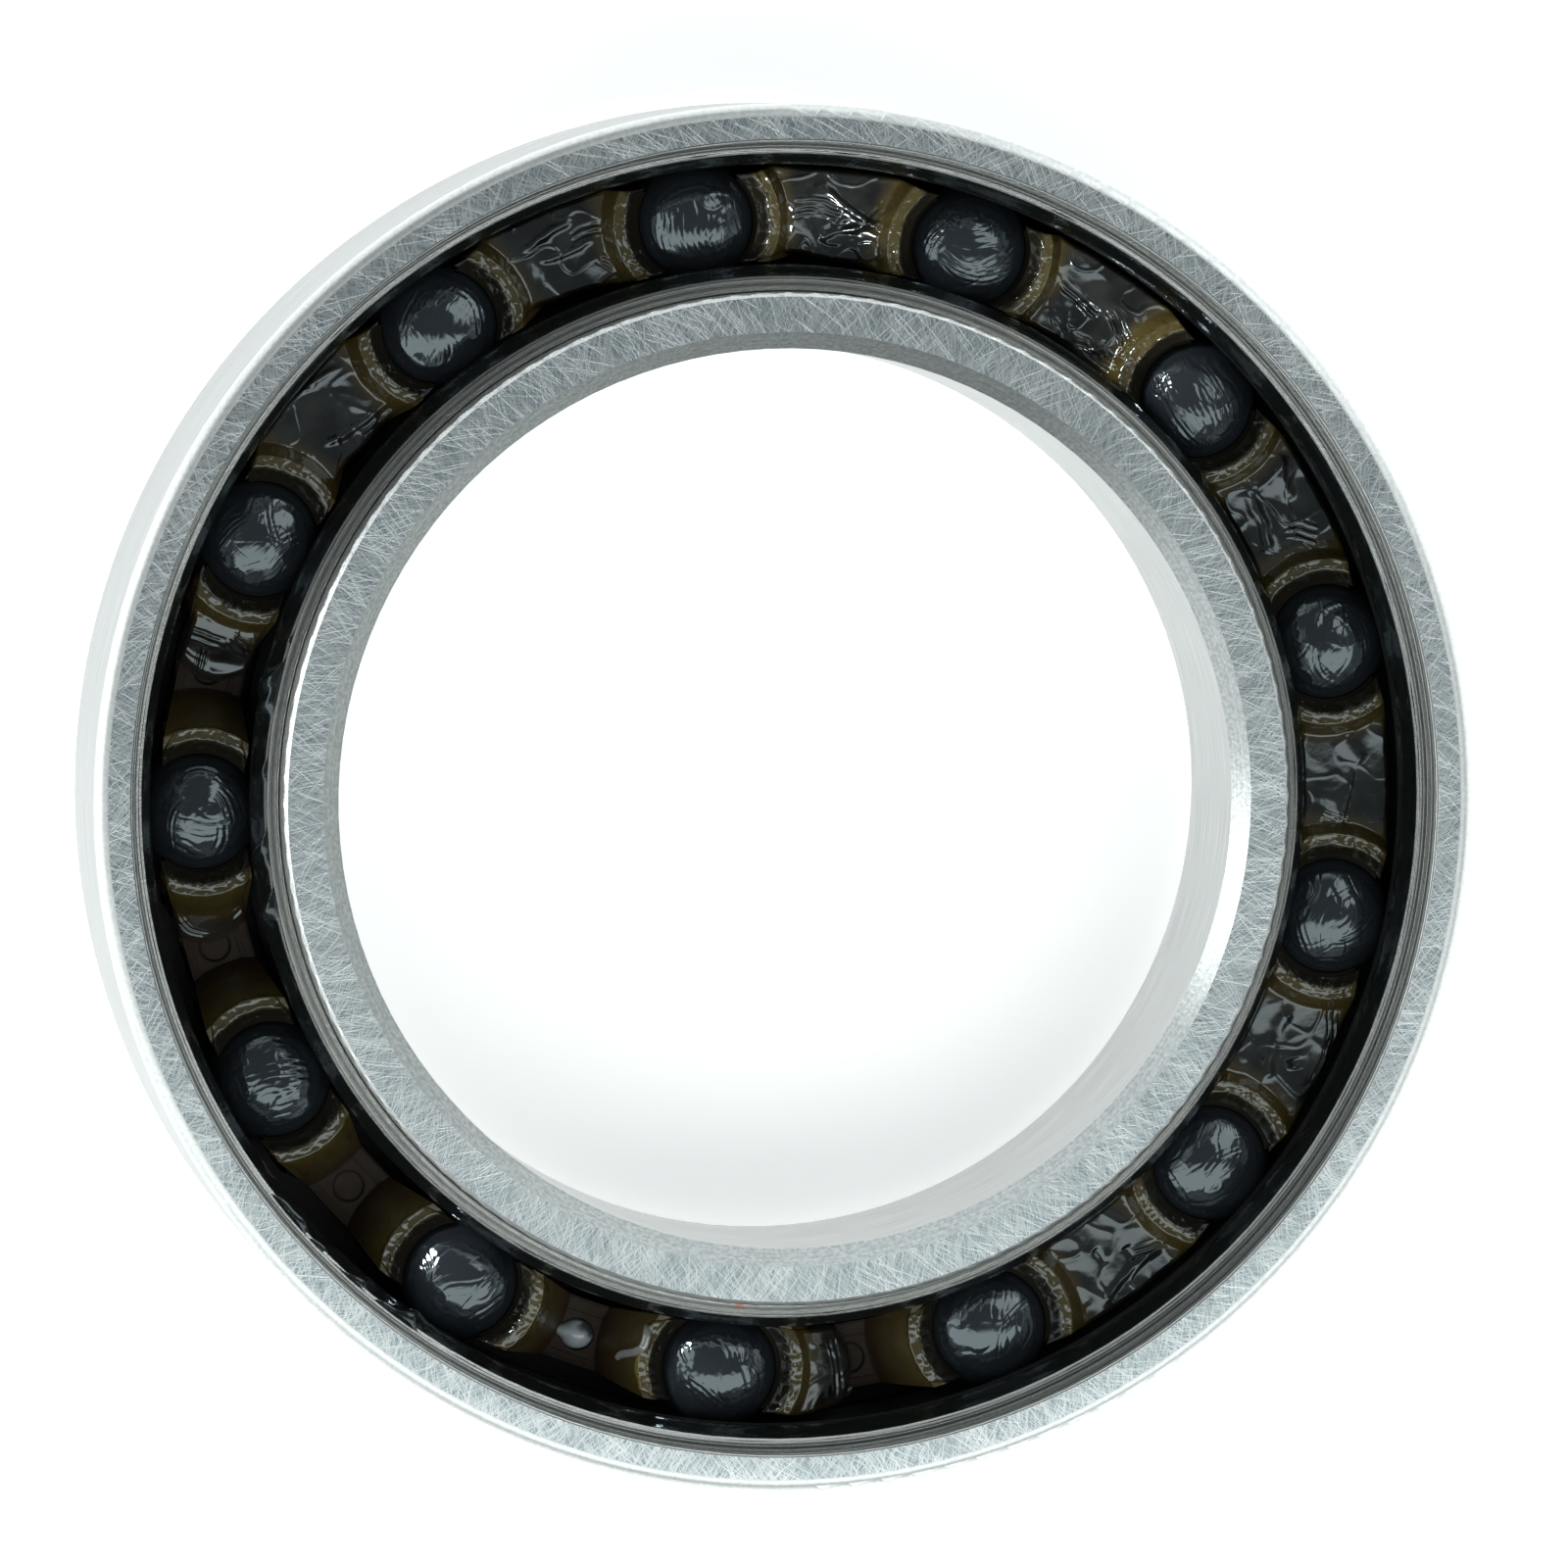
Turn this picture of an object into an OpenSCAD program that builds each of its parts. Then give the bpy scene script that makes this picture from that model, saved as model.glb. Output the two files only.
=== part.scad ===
// Thin-section hybrid ceramic ball bearing with its front seal taken off.
// Z is the axis of rotation, and the open side faces +Z.
// The origin is the centre of the ring of balls, half way between the two faces.

/* [Boundary sizes] */
// Bore diameter, the fit on the shaft
bore_d = 24; // [20:0.5:24.5]
// Outside diameter, the fit in the housing
outer_d = 37; // [36.5:0.5:45]
// Width over the ring faces
width = 7; // [6.9:0.1:9]
// Chamfer at each end of the bore
bore_chamfer = 0.45; // [0.2:0.05:0.6]
// Corner radius at each end of the outside diameter
outer_corner = 0.34; // [0.2:0.02:0.5]

/* [Balls] */
// Ball diameter
ball_d = 3.5; // [2.9:0.05:3.55]
// Number of balls
ball_count = 13; // [10:1:16]
// Angle of the first ball round the axis, counter-clockwise from +X
ball_phase = 15; // [0:0.5:28]
// Distance that the pitch circle lies outside the middle of the section
pitch_offset = 0.25; // [0:0.05:0.3]

/* [Raceways] */
// Groove radius divided by the ball diameter
groove_ratio = 0.526; // [0.51:0.002:0.54]
// Gap between a ball and the bottom of each groove
race_gap = 0.02; // [0.01:0.005:0.04]
// Depth of the inner ring's groove below its shoulder
inner_groove_depth = 0.47; // [0.3:0.01:0.55]
// Depth of the outer ring's groove below its shoulder
outer_groove_depth = 0.37; // [0.3:0.01:0.5]

/* [Seal seats] */
// Radial width of the inner ring's face, from the bore out
inner_face_w = 1.39; // [1.1:0.01:1.45]
// Radial width of the outer ring's face, from the outside diameter in
outer_face_w = 0.99; // [0.9:0.01:1.05]
// Depth of both seal seats below the face
seat_depth = 1.1; // [0.9:0.05:1.2]
// Height of the lip that holds the seal in the outer ring
lip_height = 0.38; // [0.25:0.01:0.5]
// Depth of the undercut behind that lip
undercut = 0.24; // [0.1:0.01:0.3]
// Radial width of the slope from a seal seat to the shoulder
shoulder_slope_w = 0.28; // [0.15:0.01:0.35]
// Height of that slope
shoulder_slope_h = 0.42; // [0.2:0.01:0.5]
// Small step above that slope
seat_drop = 0.18; // [0.05:0.01:0.25]
// Edge break on the inner edges of the faces
face_break = 0.11; // [0.05:0.01:0.15]
// Number of turned ridges on the inner ring's seat
ridge_count = 2; // [1:1:3]
// Distance from one turned ridge to the next
ridge_pitch = 0.11; // [0.06:0.01:0.14]
// Height of the turned ridges
ridge_height = 0.08; // [0.03:0.01:0.12]

/* [Cage] */
// Gap between a ball and its pocket
pocket_gap = 0.06; // [0.03:0.01:0.1]
// Distance that the pocket rim closes over the ball on each side
snap_grip = 0.2; // [0.05:0.01:0.25]
// Height of the prongs above the ball centres
prong_height = 1.2; // [1:0.05:1.4]
// Width of the sloping lead-in between the rim and the top of a prong
lead_in = 0.45; // [0.3:0.01:0.5]
// Width of the flat on top of a prong
prong_top_w = 0.22; // [0.1:0.01:0.3]
// Length of the ramp from the top of a prong down to the floor
ramp_run = 0.98; // [0.8:0.01:1.1]
// Depth of the floor between the prongs below the ball centres
floor_depth = 0.4; // [0.2:0.05:0.6]
// Wall left behind a ball at the bottom of its pocket
pocket_wall = 0.44; // [0.35:0.01:0.5]
// Gap between the prongs and the inner ring's shoulder
cage_inner_gap = 0.08; // [0.05:0.01:0.2]
// Gap between the prongs and the outer ring's shoulder
cage_outer_gap = 0.35; // [0.2:0.01:0.6]
// Distance that a prong flares out on each side over its height
prong_flare = 0.25; // [0:0.01:0.3]
// Diameter of the round mark on each floor
pin_mark_d = 0.82; // [0.5:0.01:1]
// Depth of that mark
pin_mark_depth = 0.08; // [0.03:0.01:0.15]
// Width of the raised strip along both edges of a floor
floor_strip_w = 0.24; // [0.1:0.01:0.3]
// Depth of the floor below that strip
floor_strip_h = 0.06; // [0.03:0.01:0.1]

/* [Rear seal] */
// Gap round the bead in the outer ring's undercut
bead_gap = 0.02; // [0.01:0.01:0.05]
// Running gap between the lip and the inner ring
lip_gap = 0.04; // [0.02:0.01:0.1]
// Distance from the ring faces down to the seal
seal_sink = 0.3; // [0.2:0.01:0.4]
// Gap between the seal and both seats, inside the bead
seal_float = 0.08; // [0.05:0.01:0.15]
// Thickness of the steel stiffener
insert_t = 0.2; // [0.15:0.01:0.3]
// Rubber behind the stiffener
insert_back_cover = 0.14; // [0.08:0.01:0.2]
// Rubber over the end of the stiffener's bent rim
insert_front_cover = 0.08; // [0.05:0.01:0.15]
// Rubber between the stiffener and the snap-in bead
insert_edge_cover = 0.3; // [0.2:0.01:0.4]
// Radial length of the thin lip inside the stiffener
lip_length = 0.75; // [0.5:0.01:1]
// Thickness of the lip at its edge
lip_t = 0.28; // [0.15:0.01:0.4]

/* [Hidden] */
CIRCLE_FACES = 96;
OVERSHOOT = 1;
STEEL = [0.78, 0.81, 0.82];
CERAMIC = [0.11, 0.12, 0.14];
AMBER = [0.27, 0.21, 0.09];
RUBBER = [0.09, 0.09, 0.1];
INSERT_STEEL = [0.62, 0.64, 0.66];

bore_r = bore_d/2;
outer_r = outer_d/2;
half_w = width/2;
ball_r = ball_d/2;
pitch_r = (bore_r + outer_r)/2 + pitch_offset;
ball_step = 360/ball_count;

// Raceways
groove_r = groove_ratio*ball_d;
inner_groove_bottom = pitch_r - ball_r - race_gap;
outer_groove_bottom = pitch_r + ball_r + race_gap;
inner_shoulder_r = inner_groove_bottom + inner_groove_depth;
outer_shoulder_r = outer_groove_bottom - outer_groove_depth;

// Seal seats
seat_z = half_w - seat_depth;
drop_z = seat_z - seat_drop;
shoulder_z = drop_z - shoulder_slope_h;
inner_face_r = bore_r + inner_face_w;
inner_wall_r = inner_face_r + face_break;
inner_seat_r = inner_shoulder_r - shoulder_slope_w;
outer_lip_r = outer_r - outer_face_w;
undercut_r = outer_lip_r + undercut;
outer_seat_r = outer_shoulder_r + shoulder_slope_w;

// Cage
pocket_r = ball_r + pocket_gap;
rim_r = ball_r - snap_grip;
rim_z = sqrt(pow(pocket_r, 2) - pow(rim_r, 2));
prong_in_r = rim_r + lead_in;
prong_out_r = prong_in_r + prong_top_w;
ramp_foot_r = prong_out_r + ramp_run;
floor_z = -floor_depth;
cage_back_z = -pocket_r - pocket_wall;
prong_r0 = inner_shoulder_r + cage_inner_gap;
prong_r1 = outer_shoulder_r - cage_outer_gap;
cage_r0 = prong_r0 + prong_flare;
cage_r1 = prong_r1 - prong_flare;

// Rear seal
seal_back_z = -half_w + seal_sink;
seal_front_z = -seat_z - seal_float;
bead_r = undercut_r - bead_gap;
bead_back_z = -half_w + lip_height + undercut + bead_gap;
seal_inner_r = inner_wall_r + lip_gap;
insert_r0 = seal_inner_r + lip_length;
insert_r1 = outer_lip_r - insert_edge_cover;
insert_back_z = seal_back_z + insert_back_cover;
insert_rim_z = seal_front_z - insert_front_cover;

// Name of ball i, counted from one
function ball_name(i) = str("ball_", i < 10 ? "0" : "", i);

// A half section and its mirror image below, as one outline
function both_sides(points) = concat(
    points,
    [for (i = [len(points) - 1:-1:0]) [points[i][0], -points[i][1]]]
);

// Turns a section round the bearing's axis
module turned() {
    rotate_extrude($fn = CIRCLE_FACES) children();
}

// The round track that the balls run in, as a section
module raceway(centre_r) {
    translate([centre_r, 0]) circle(r = groove_r, $fn = CIRCLE_FACES);
}

// The corner radius of the outer ring, as a section
module outer_corner_rounds() {
    for (side = [-1, 1])
        translate([outer_r - outer_corner, side*(half_w - outer_corner)])
            circle(r = outer_corner, $fn = CIRCLE_FACES);
}

module outer_ring() {
    upper_half = [
        [outer_r, half_w - outer_corner],
        [outer_r - outer_corner, half_w],
        [outer_lip_r + face_break/2, half_w],
        [outer_lip_r, half_w - face_break/2],
        [outer_lip_r, half_w - lip_height],
        [undercut_r, half_w - lip_height - undercut],
        [undercut_r, seat_z],
        [outer_seat_r, seat_z],
        [outer_seat_r, drop_z],
        [outer_shoulder_r, shoulder_z]
    ];
    color(STEEL) turned() difference() {
        union() {
            polygon(both_sides(upper_half));
            outer_corner_rounds();
        }
        raceway(outer_groove_bottom - groove_r);
    }
}

// Turned ridges between the wall and the flat of the inner ring's seal seat
function seat_ridges() = [
    for (i = [0:ridge_count - 1])
        for (half = [0, 1])
            [inner_wall_r + (i + half/2)*ridge_pitch, seat_z - (1 - half)*ridge_height]
];

module inner_ring() {
    upper_half = concat(
        [
            [bore_r, half_w - bore_chamfer],
            [bore_r + bore_chamfer, half_w],
            [inner_face_r, half_w],
            [inner_wall_r, half_w - face_break]
        ],
        seat_ridges(),
        [
            [inner_wall_r + ridge_count*ridge_pitch, seat_z - ridge_height],
            [inner_wall_r + (ridge_count + 0.5)*ridge_pitch, seat_z],
            [inner_seat_r, seat_z],
            [inner_seat_r, drop_z],
            [inner_shoulder_r, shoulder_z]
        ]
    );
    color(STEEL) turned() difference() {
        polygon(both_sides(upper_half));
        raceway(inner_groove_bottom + groove_r);
    }
}

// Places its children at each ball centre
module at_balls(first = 0) {
    for (i = [0:ball_count - 1])
        rotate([0, 0, ball_phase + (i + first)*ball_step])
            translate([pitch_r, 0, 0])
                children();
}

module ball(i) {
    color(CERAMIC)
        rotate([0, 0, ball_phase + (i - 1)*ball_step])
            translate([pitch_r, 0, 0])
                sphere(d = ball_d, $fn = CIRCLE_FACES);
}

// The ring that joins the pockets, up to the floors, with its edge strips
module cage_base() {
    turned() difference() {
        translate([cage_r0, cage_back_z])
            square([cage_r1 - cage_r0, floor_z - cage_back_z]);
        translate([cage_r0 + floor_strip_w, floor_z - floor_strip_h])
            square([cage_r1 - cage_r0 - 2*floor_strip_w, OVERSHOOT]);
    }
}

// The collar round one ball, which ends in the two prongs
module pocket_collar() {
    slope_h = prong_height - floor_z;
    translate([0, 0, floor_z])
        cylinder(h = slope_h, r1 = ramp_foot_r, r2 = prong_out_r, $fn = CIRCLE_FACES);
    translate([0, 0, cage_back_z])
        cylinder(h = floor_z - cage_back_z, r = ramp_foot_r, $fn = CIRCLE_FACES);
}

// The seat of one ball and the lead-in that it snaps in through
module pocket() {
    sphere(r = pocket_r, $fn = CIRCLE_FACES);
    lead_h = prong_height - rim_z;
    translate([0, 0, rim_z])
        cylinder(h = lead_h, r1 = rim_r, r2 = prong_in_r, $fn = CIRCLE_FACES);
    translate([0, 0, prong_height])
        cylinder(h = OVERSHOOT, r = prong_in_r, $fn = CIRCLE_FACES);
}

// The space between the shoulders that the cage may fill, wider at the prongs
module cage_envelope() {
    turned() polygon([
        [cage_r0, cage_back_z],
        [cage_r1, cage_back_z],
        [cage_r1, floor_z],
        [prong_r1, prong_height],
        [prong_r0, prong_height],
        [cage_r0, floor_z]
    ]);
}

module cage() {
    color(AMBER) difference() {
        union() {
            cage_base();
            intersection() {
                cage_envelope();
                at_balls() pocket_collar();
            }
        }
        at_balls() pocket();
        at_balls(first = 0.5)
            translate([0, 0, floor_z - floor_strip_h - pin_mark_depth])
                cylinder(h = OVERSHOOT/2, d = pin_mark_d, $fn = CIRCLE_FACES);
    }
}

// Section of the steel stiffener, a flat ring with its rim bent towards the seat
module insert_section() {
    polygon([
        [insert_r0, insert_back_z],
        [insert_r1, insert_back_z],
        [insert_r1, insert_rim_z],
        [insert_r1 - insert_t, insert_rim_z],
        [insert_r1 - insert_t, insert_back_z + insert_t],
        [insert_r0, insert_back_z + insert_t]
    ]);
}

module rear_seal() {
    lip_middle_z = (seal_back_z + seal_front_z)/2;
    color(RUBBER) turned() difference() {
        polygon([
            [seal_inner_r, lip_middle_z - lip_t/2],
            [seal_inner_r + lip_length/2, lip_middle_z - lip_t/2],
            [insert_r0 - lip_t/2, seal_back_z],
            [outer_lip_r - bead_gap, seal_back_z],
            [outer_lip_r - bead_gap, -half_w + lip_height + bead_gap],
            [bead_r, bead_back_z],
            [bead_r, -seat_z],
            [outer_seat_r, -seat_z],
            [outer_seat_r, seal_front_z],
            [inner_seat_r, seal_front_z],
            [seal_inner_r, lip_middle_z + lip_t/2]
        ]);
        insert_section();
    }
}

module rear_seal_insert() {
    color(INSERT_STEEL) turned() insert_section();
}

outer_ring();
inner_ring();
cage();
rear_seal();
rear_seal_insert();
for (i = [1:ball_count])
    ball(i);
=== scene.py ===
"""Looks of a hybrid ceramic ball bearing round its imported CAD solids.

Blender works in metres. Sizes here are in millimetres and MM turns them into metres.
The bearing's axis is Z, its open side faces +Z, and angles run counter-clockwise from +X.
"""

import math
from collections import namedtuple

import bpy
import numpy as np
from mathutils import Matrix, Vector


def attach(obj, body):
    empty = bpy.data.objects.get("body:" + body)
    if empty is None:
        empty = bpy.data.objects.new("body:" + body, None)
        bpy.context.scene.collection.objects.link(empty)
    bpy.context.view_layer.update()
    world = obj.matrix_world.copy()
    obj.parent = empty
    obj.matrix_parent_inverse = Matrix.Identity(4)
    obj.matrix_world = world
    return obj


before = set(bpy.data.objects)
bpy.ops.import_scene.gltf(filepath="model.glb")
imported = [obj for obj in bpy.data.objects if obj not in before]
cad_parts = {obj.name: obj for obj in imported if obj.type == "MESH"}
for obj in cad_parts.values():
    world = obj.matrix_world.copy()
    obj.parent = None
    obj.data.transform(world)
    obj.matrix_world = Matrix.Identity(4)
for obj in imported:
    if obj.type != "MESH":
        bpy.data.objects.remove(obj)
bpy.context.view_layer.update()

MM = 0.001

# Sizes of the bearing that the looks follow
HALF_WIDTH = 3.5
BORE_R = 12.0
OUTER_R = 18.5
PITCH_R = 15.5
BALL_R = 1.75
BALL_COUNT = 13
BALL_PHASE = 15.0
BALL_STEP = 360.0/BALL_COUNT
INNER_FACE_R = 13.39
OUTER_SEAT_R = 17.18
INNER_SHOULDER_R = 14.2
OUTER_SHOULDER_R = 16.9
SEAT_Z = 2.4

# Sizes of the cage, round each ball and between the balls
PRONG_TOP_Z = 1.2
PRONG_INNER_R = 2.0
PRONG_OUTER_R = 2.22
RAMP_FOOT_R = 3.2
LEAD_IN_SLOPE = 0.59
FLOOR_Z = -0.4
MARK_DEPTH = 0.2
PIN_R = 0.41
CAGE_IN_R = (14.53, 14.28)
CAGE_OUT_R = (16.3, 16.55)

# Camera, fitted to the ring edges in the photograph
CAMERA_TILT = 8.83
CAMERA_LEAN = -23.7
CAMERA_DISTANCE = 308.0
CAMERA_LENS = 266.1
CAMERA_SENSOR = 36.0
CAMERA_SHIFT = (-0.0037, 0.0106)

# Balls whose film, and the grease block after it, catch the hard lamps, counted from 0
SPARK_PIECES = (1, 2, 8, 9)

# Order of the materials on both rings, and how far the chamfers reach in from the bore and the outside
GROUND, WALL, SEAT, SHOULDER, EDGE = range(5)
BORE_EDGE = 0.5
OUTSIDE_EDGE = 0.4

# Pieces that are the same all the way round the axis
TURNED = ("outer_ring", "inner_ring", "rear_seal", "rear_seal_insert")

# Distance of these lamps from the bearing's middle and their size, in metres
SPARK_DISTANCE = 0.3
SPARK_SIZE = 0.03

# Colours, as linear values
STEEL_BRIGHT = (0.93, 0.97, 0.97)
AMBER_FOOT = (0.026, 0.0145, 0.0075)
AMBER_RAMP = (0.043, 0.031, 0.0105)
AMBER_RIDGE = (0.06, 0.047, 0.0135)
AMBER_FLOOR = (0.043, 0.034, 0.0265)
AMBER_GROOVE = (0.008, 0.006, 0.005)
GREASE_DARK = (0.0055, 0.005, 0.0038)
GREASE_GREY = (0.02, 0.0205, 0.018)
# Painted shade in the lead-in between each ball and its prongs
GAP_PAINTED_SHADE = (0.007, 0.0065, 0.005)
FILM_NAVY = (0.0115, 0.0142, 0.0178)
FILM_TINT = (0.78, 0.93, 1.0)
GREASE_TINT = (0.82, 0.94, 1.0)
LIGHT_COLOUR = (0.97, 1.0, 0.985)
WORLD_COLOUR = (0.93, 0.98, 1.0)
WHITE = (1.0, 1.0, 1.0)

# Half the floor's side, in metres, and the radii between which it brightens, in millimetres
FLOOR_HALF = 3.0
FLOOR_FADE = (45.0, 170.0)

# Its glow at those radii as the camera sees it, and its glow in reflections
FLOOR_GLOW = (0.45, 0.95)
FLOOR_REFLECTED = 0.8

# A rust-coloured speck on the inner ring's seat
SPECK_PLACE = (-1.19, -13.55)
SPECK_RED = (0.8, 0.3, 0.2)


Place = namedtuple("Place", "point x y z radius angle")


class Value:
    """A node's output, with arithmetic that adds nodes."""

    def __init__(self, nodes, socket):
        self.nodes = nodes
        self.socket = socket

    def __add__(self, other):
        return self.nodes.math("ADD", self, other)

    def __sub__(self, other):
        return self.nodes.math("SUBTRACT", self, other)

    def __mul__(self, other):
        return self.nodes.math("MULTIPLY", self, other)

    def __truediv__(self, other):
        return self.nodes.math("DIVIDE", self, other)

    def __abs__(self):
        return self.nodes.math("ABSOLUTE", self)

    def ramp(self, low, high, start=0.0, end=1.0):
        """Turns the value from low to high into start to end, smoothly and held at both ends."""
        return self.nodes.value("ShaderNodeMapRange", {"interpolation_type": "SMOOTHSTEP"}, Value=self,
                                From_Min=low, From_Max=high, To_Min=start, To_Max=end)


class Nodes:
    """Adds nodes to a tree and links them. Each keyword names an input, with _ for a space."""

    def __init__(self, tree):
        self.tree = tree

    def add(self, kind, settings=None, **inputs):
        node = self.tree.nodes.new(kind)
        for key, value in (settings or {}).items():
            setattr(node, key, value)
        self.set(node, **inputs)
        return node

    def set(self, node, **inputs):
        for key, value in inputs.items():
            self.put(node.inputs[key.replace("_", " ")], value)

    def put(self, socket, value):
        if isinstance(value, Value):
            self.tree.links.new(value.socket, socket)
        elif socket.type == "RGBA":
            socket.default_value = (*value, 1.0)
        else:
            socket.default_value = value

    def fill(self, node, output, values):
        """Sets inputs by their place in the node, and gives one output."""
        for place, value in values.items():
            self.put(node.inputs[place], value)
        return Value(self, node.outputs[output])

    def value(self, kind, settings=None, output=0, **inputs):
        """One output of a new node."""
        return Value(self, self.add(kind, settings, **inputs).outputs[output])

    def math(self, operation, a, b=0.0):
        return self.fill(self.add("ShaderNodeMath", {"operation": operation}), 0, {0: a, 1: b})

    def mix(self, factor, a, b):
        """A colour between two others."""
        return self.fill(self.add("ShaderNodeMix", {"data_type": "RGBA"}), 2, {0: factor, 6: a, 7: b})

    def combine(self, x, y=0.0, z=0.0):
        return self.value("ShaderNodeCombineXYZ", X=x, Y=y, Z=z)

    def split(self, vector):
        node = self.add("ShaderNodeSeparateXYZ", Vector=vector)
        return [Value(self, output) for output in node.outputs]

    def noise(self, vector, scale=1.0, detail=2.0):
        return self.value("ShaderNodeTexNoise", Vector=vector, Scale=scale, Detail=detail)

    def bump(self, height, distance):
        return self.value("ShaderNodeBump", Height=height, Distance=distance*MM)

    def place(self):
        """The surface point in millimetres, with its parts, its distance from the axis and its angle."""
        point = self.value("ShaderNodeTexCoord", output="Object")
        scale = self.add("ShaderNodeVectorMath", {"operation": "SCALE"}, Scale=1/MM)
        point = self.fill(scale, 0, {0: point})
        x, y, z = self.split(point)
        return Place(point, x, y, z, self.math("SQRT", x*x + y*y), self.math("ARCTAN2", y, x))


class Shader(Nodes):
    """The nodes of one new material."""

    def __init__(self, name):
        self.material = bpy.data.materials.new(name)
        self.material.use_nodes = True
        super().__init__(self.material.node_tree)

    def surface(self, **inputs):
        """Sets the material's surface and returns the material."""
        self.set(self.tree.nodes["Principled BSDF"], **inputs)
        return self.material


def grained(name, scale, dark, light, depth=0.0, detail=3.0, **surface):
    """A material with a plain grain from a dark tone to a light one, which lifts the surface by a depth."""
    shader = Shader(name)
    grain = shader.noise(shader.place().point, scale, detail)
    if depth:
        surface["Normal"] = shader.bump(grain, depth)
    return shader.surface(Base_Color=shader.mix(grain, dark, light), **surface)


def scratch_lines(shader, along, across, leans, fine, long, low, high):
    """The strongest of several families of straight scratches, one for each lean."""
    lines = None
    for lean in leans:
        c, s = math.cos(math.radians(lean)), math.sin(math.radians(lean))
        drawn = shader.combine((along*c - across*s)*fine, (along*s + across*c)*long, lean)
        family = shader.noise(drawn, detail=1.0).ramp(low, high)
        lines = family if lines is None else shader.math("MAXIMUM", lines, family)
    return lines


# Leans of the scratches on the ring faces, in degrees from the way round
FINE_LEANS = (-38.0, -14.0, 24.0, 52.0)
COARSE_LEANS = (-44.0, -20.0, 14.0, 38.0, 61.0)
DARK_LEANS = (-30.0, 33.0)


def ground_steel():
    """Ring faces: ground flat, with fine scratches that cross each other."""
    shader = Shader("ground_steel")
    at = shader.place()
    along = at.angle*PITCH_R
    fine = scratch_lines(shader, along, at.radius, FINE_LEANS, 34.0, 0.9, 0.5, 0.64)
    coarse = scratch_lines(shader, along, at.radius, COARSE_LEANS, 22.0, 0.28, 0.63, 0.7)
    dark = scratch_lines(shader, along, at.radius, DARK_LEANS, 26.0, 0.7, 0.6, 0.74)
    cloud = shader.noise(at.point, 0.9, 3.0).ramp(0.35, 0.7)
    tone = shader.mix(fine, (0.28, 0.35, 0.39), (0.74, 0.8, 0.8))
    tone = shader.mix(cloud*0.25, tone, (0.31, 0.38, 0.415))
    tone = shader.mix(dark*0.5, tone, (0.18, 0.225, 0.25))
    tone = shader.mix(coarse*0.55, tone, STEEL_BRIGHT)
    return shader.surface(Base_Color=tone, Metallic=1.0, Roughness=0.32,
                          Normal=shader.bump(fine*0.5 + coarse, 0.0015))


def turned_lines(shader, at, fine):
    """Rings left by the tool on turned surfaces, on flats by radius and on walls by height."""
    return shader.noise(shader.combine((at.radius + at.z*1.1)*fine), detail=3.0)


def wall_steel():
    """Bore and outside diameter: ground round and round, with short fine lines."""
    shader = Shader("wall_steel")
    at = shader.place()
    lines = shader.noise(shader.combine(at.z*17.0, at.angle*5.0), detail=3.0).ramp(0.3, 0.7)
    tone = shader.mix(lines, (0.33, 0.35, 0.345), (0.5, 0.525, 0.52))
    return shader.surface(Base_Color=tone, Metallic=1.0, Roughness=0.4, Normal=shader.bump(lines, 0.003))


def edge_steel():
    """Chamfers round the bore and the outside diameter: dull, with a fine grain."""
    shader = Shader("edge_steel")
    at = shader.place()
    grain = shader.noise(at.point, 9.0, 3.0)
    fleck = (grain + turned_lines(shader, at, 12.0)).ramp(0.7, 1.3)
    inner = shader.mix(fleck, (0.4, 0.425, 0.42), (0.6, 0.63, 0.62))
    outer = shader.mix(fleck, (0.62, 0.65, 0.645), (0.76, 0.79, 0.785))
    side = at.radius.ramp(14.0, 16.0)
    return shader.surface(Base_Color=shader.mix(side, inner, outer), Metallic=1.0,
                          Roughness=side.ramp(0.0, 1.0, 0.26, 0.46), Normal=shader.bump(grain, 0.004))


def seat_steel(name, highlight_radius, dark, bright, stain, speck=None):
    """Turned seal seats and their walls: tool rings with dark grooves, and a painted highlight along the
    edge at the given radius.
    """
    shader = Shader(name)
    at = shader.place()
    lines = turned_lines(shader, at, 9.0).ramp(0.45, 0.55)
    hair = turned_lines(shader, at, 31.0).ramp(0.3, 0.7)
    cloud = shader.noise(at.point, 0.7, 3.0).ramp(0.3, 0.75)
    grit = shader.noise(at.point, 16.0).ramp(0.35, 0.65)
    tone = shader.mix(lines*hair.ramp(0.0, 1.0, 0.6, 1.0), dark, bright)
    tone = shader.mix(cloud*0.3, tone, stain)
    tone = shader.mix(grit*0.25, tone, dark)
    # Painted highlight: a bright band along the seat's edge
    tone = shader.mix(abs(at.radius - highlight_radius).ramp(0.08, 0.14, 0.6, 0.0), tone, bright)
    if speck:
        off = abs(at.x - speck[0]) + abs(at.y - speck[1])
        tone = shader.mix(off.ramp(0.04, 0.2, 0.65, 0.0), tone, SPECK_RED)
    return shader.surface(Base_Color=tone, Metallic=1.0, Roughness=0.28,
                          Normal=shader.bump(lines + grit*0.12, 0.022))


def shoulder_steel():
    """Slopes, shoulders and raceways: dark, partly for the wet grease film on them and partly as painted
    shade down in the groove.
    """
    shader = Shader("shoulder_steel")
    at = shader.place()
    # Painted shade: the steel is made nearly black down in the groove
    tone = shader.mix(turned_lines(shader, at, 9.0), (0.025, 0.028, 0.028), (0.06, 0.065, 0.065))
    wet = shader.noise(at.point, 2.2, 3.0)
    return shader.surface(Base_Color=tone, Metallic=0.35, Roughness=0.32, Normal=shader.bump(wet, 0.03))


def black_ceramic():
    """Polished silicon nitride."""
    return grained("black_ceramic", 1.5, (0.006, 0.0075, 0.01), (0.011, 0.013, 0.017),
                   Roughness=0.08, IOR=1.9, Specular_Tint=FILM_TINT)


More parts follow.
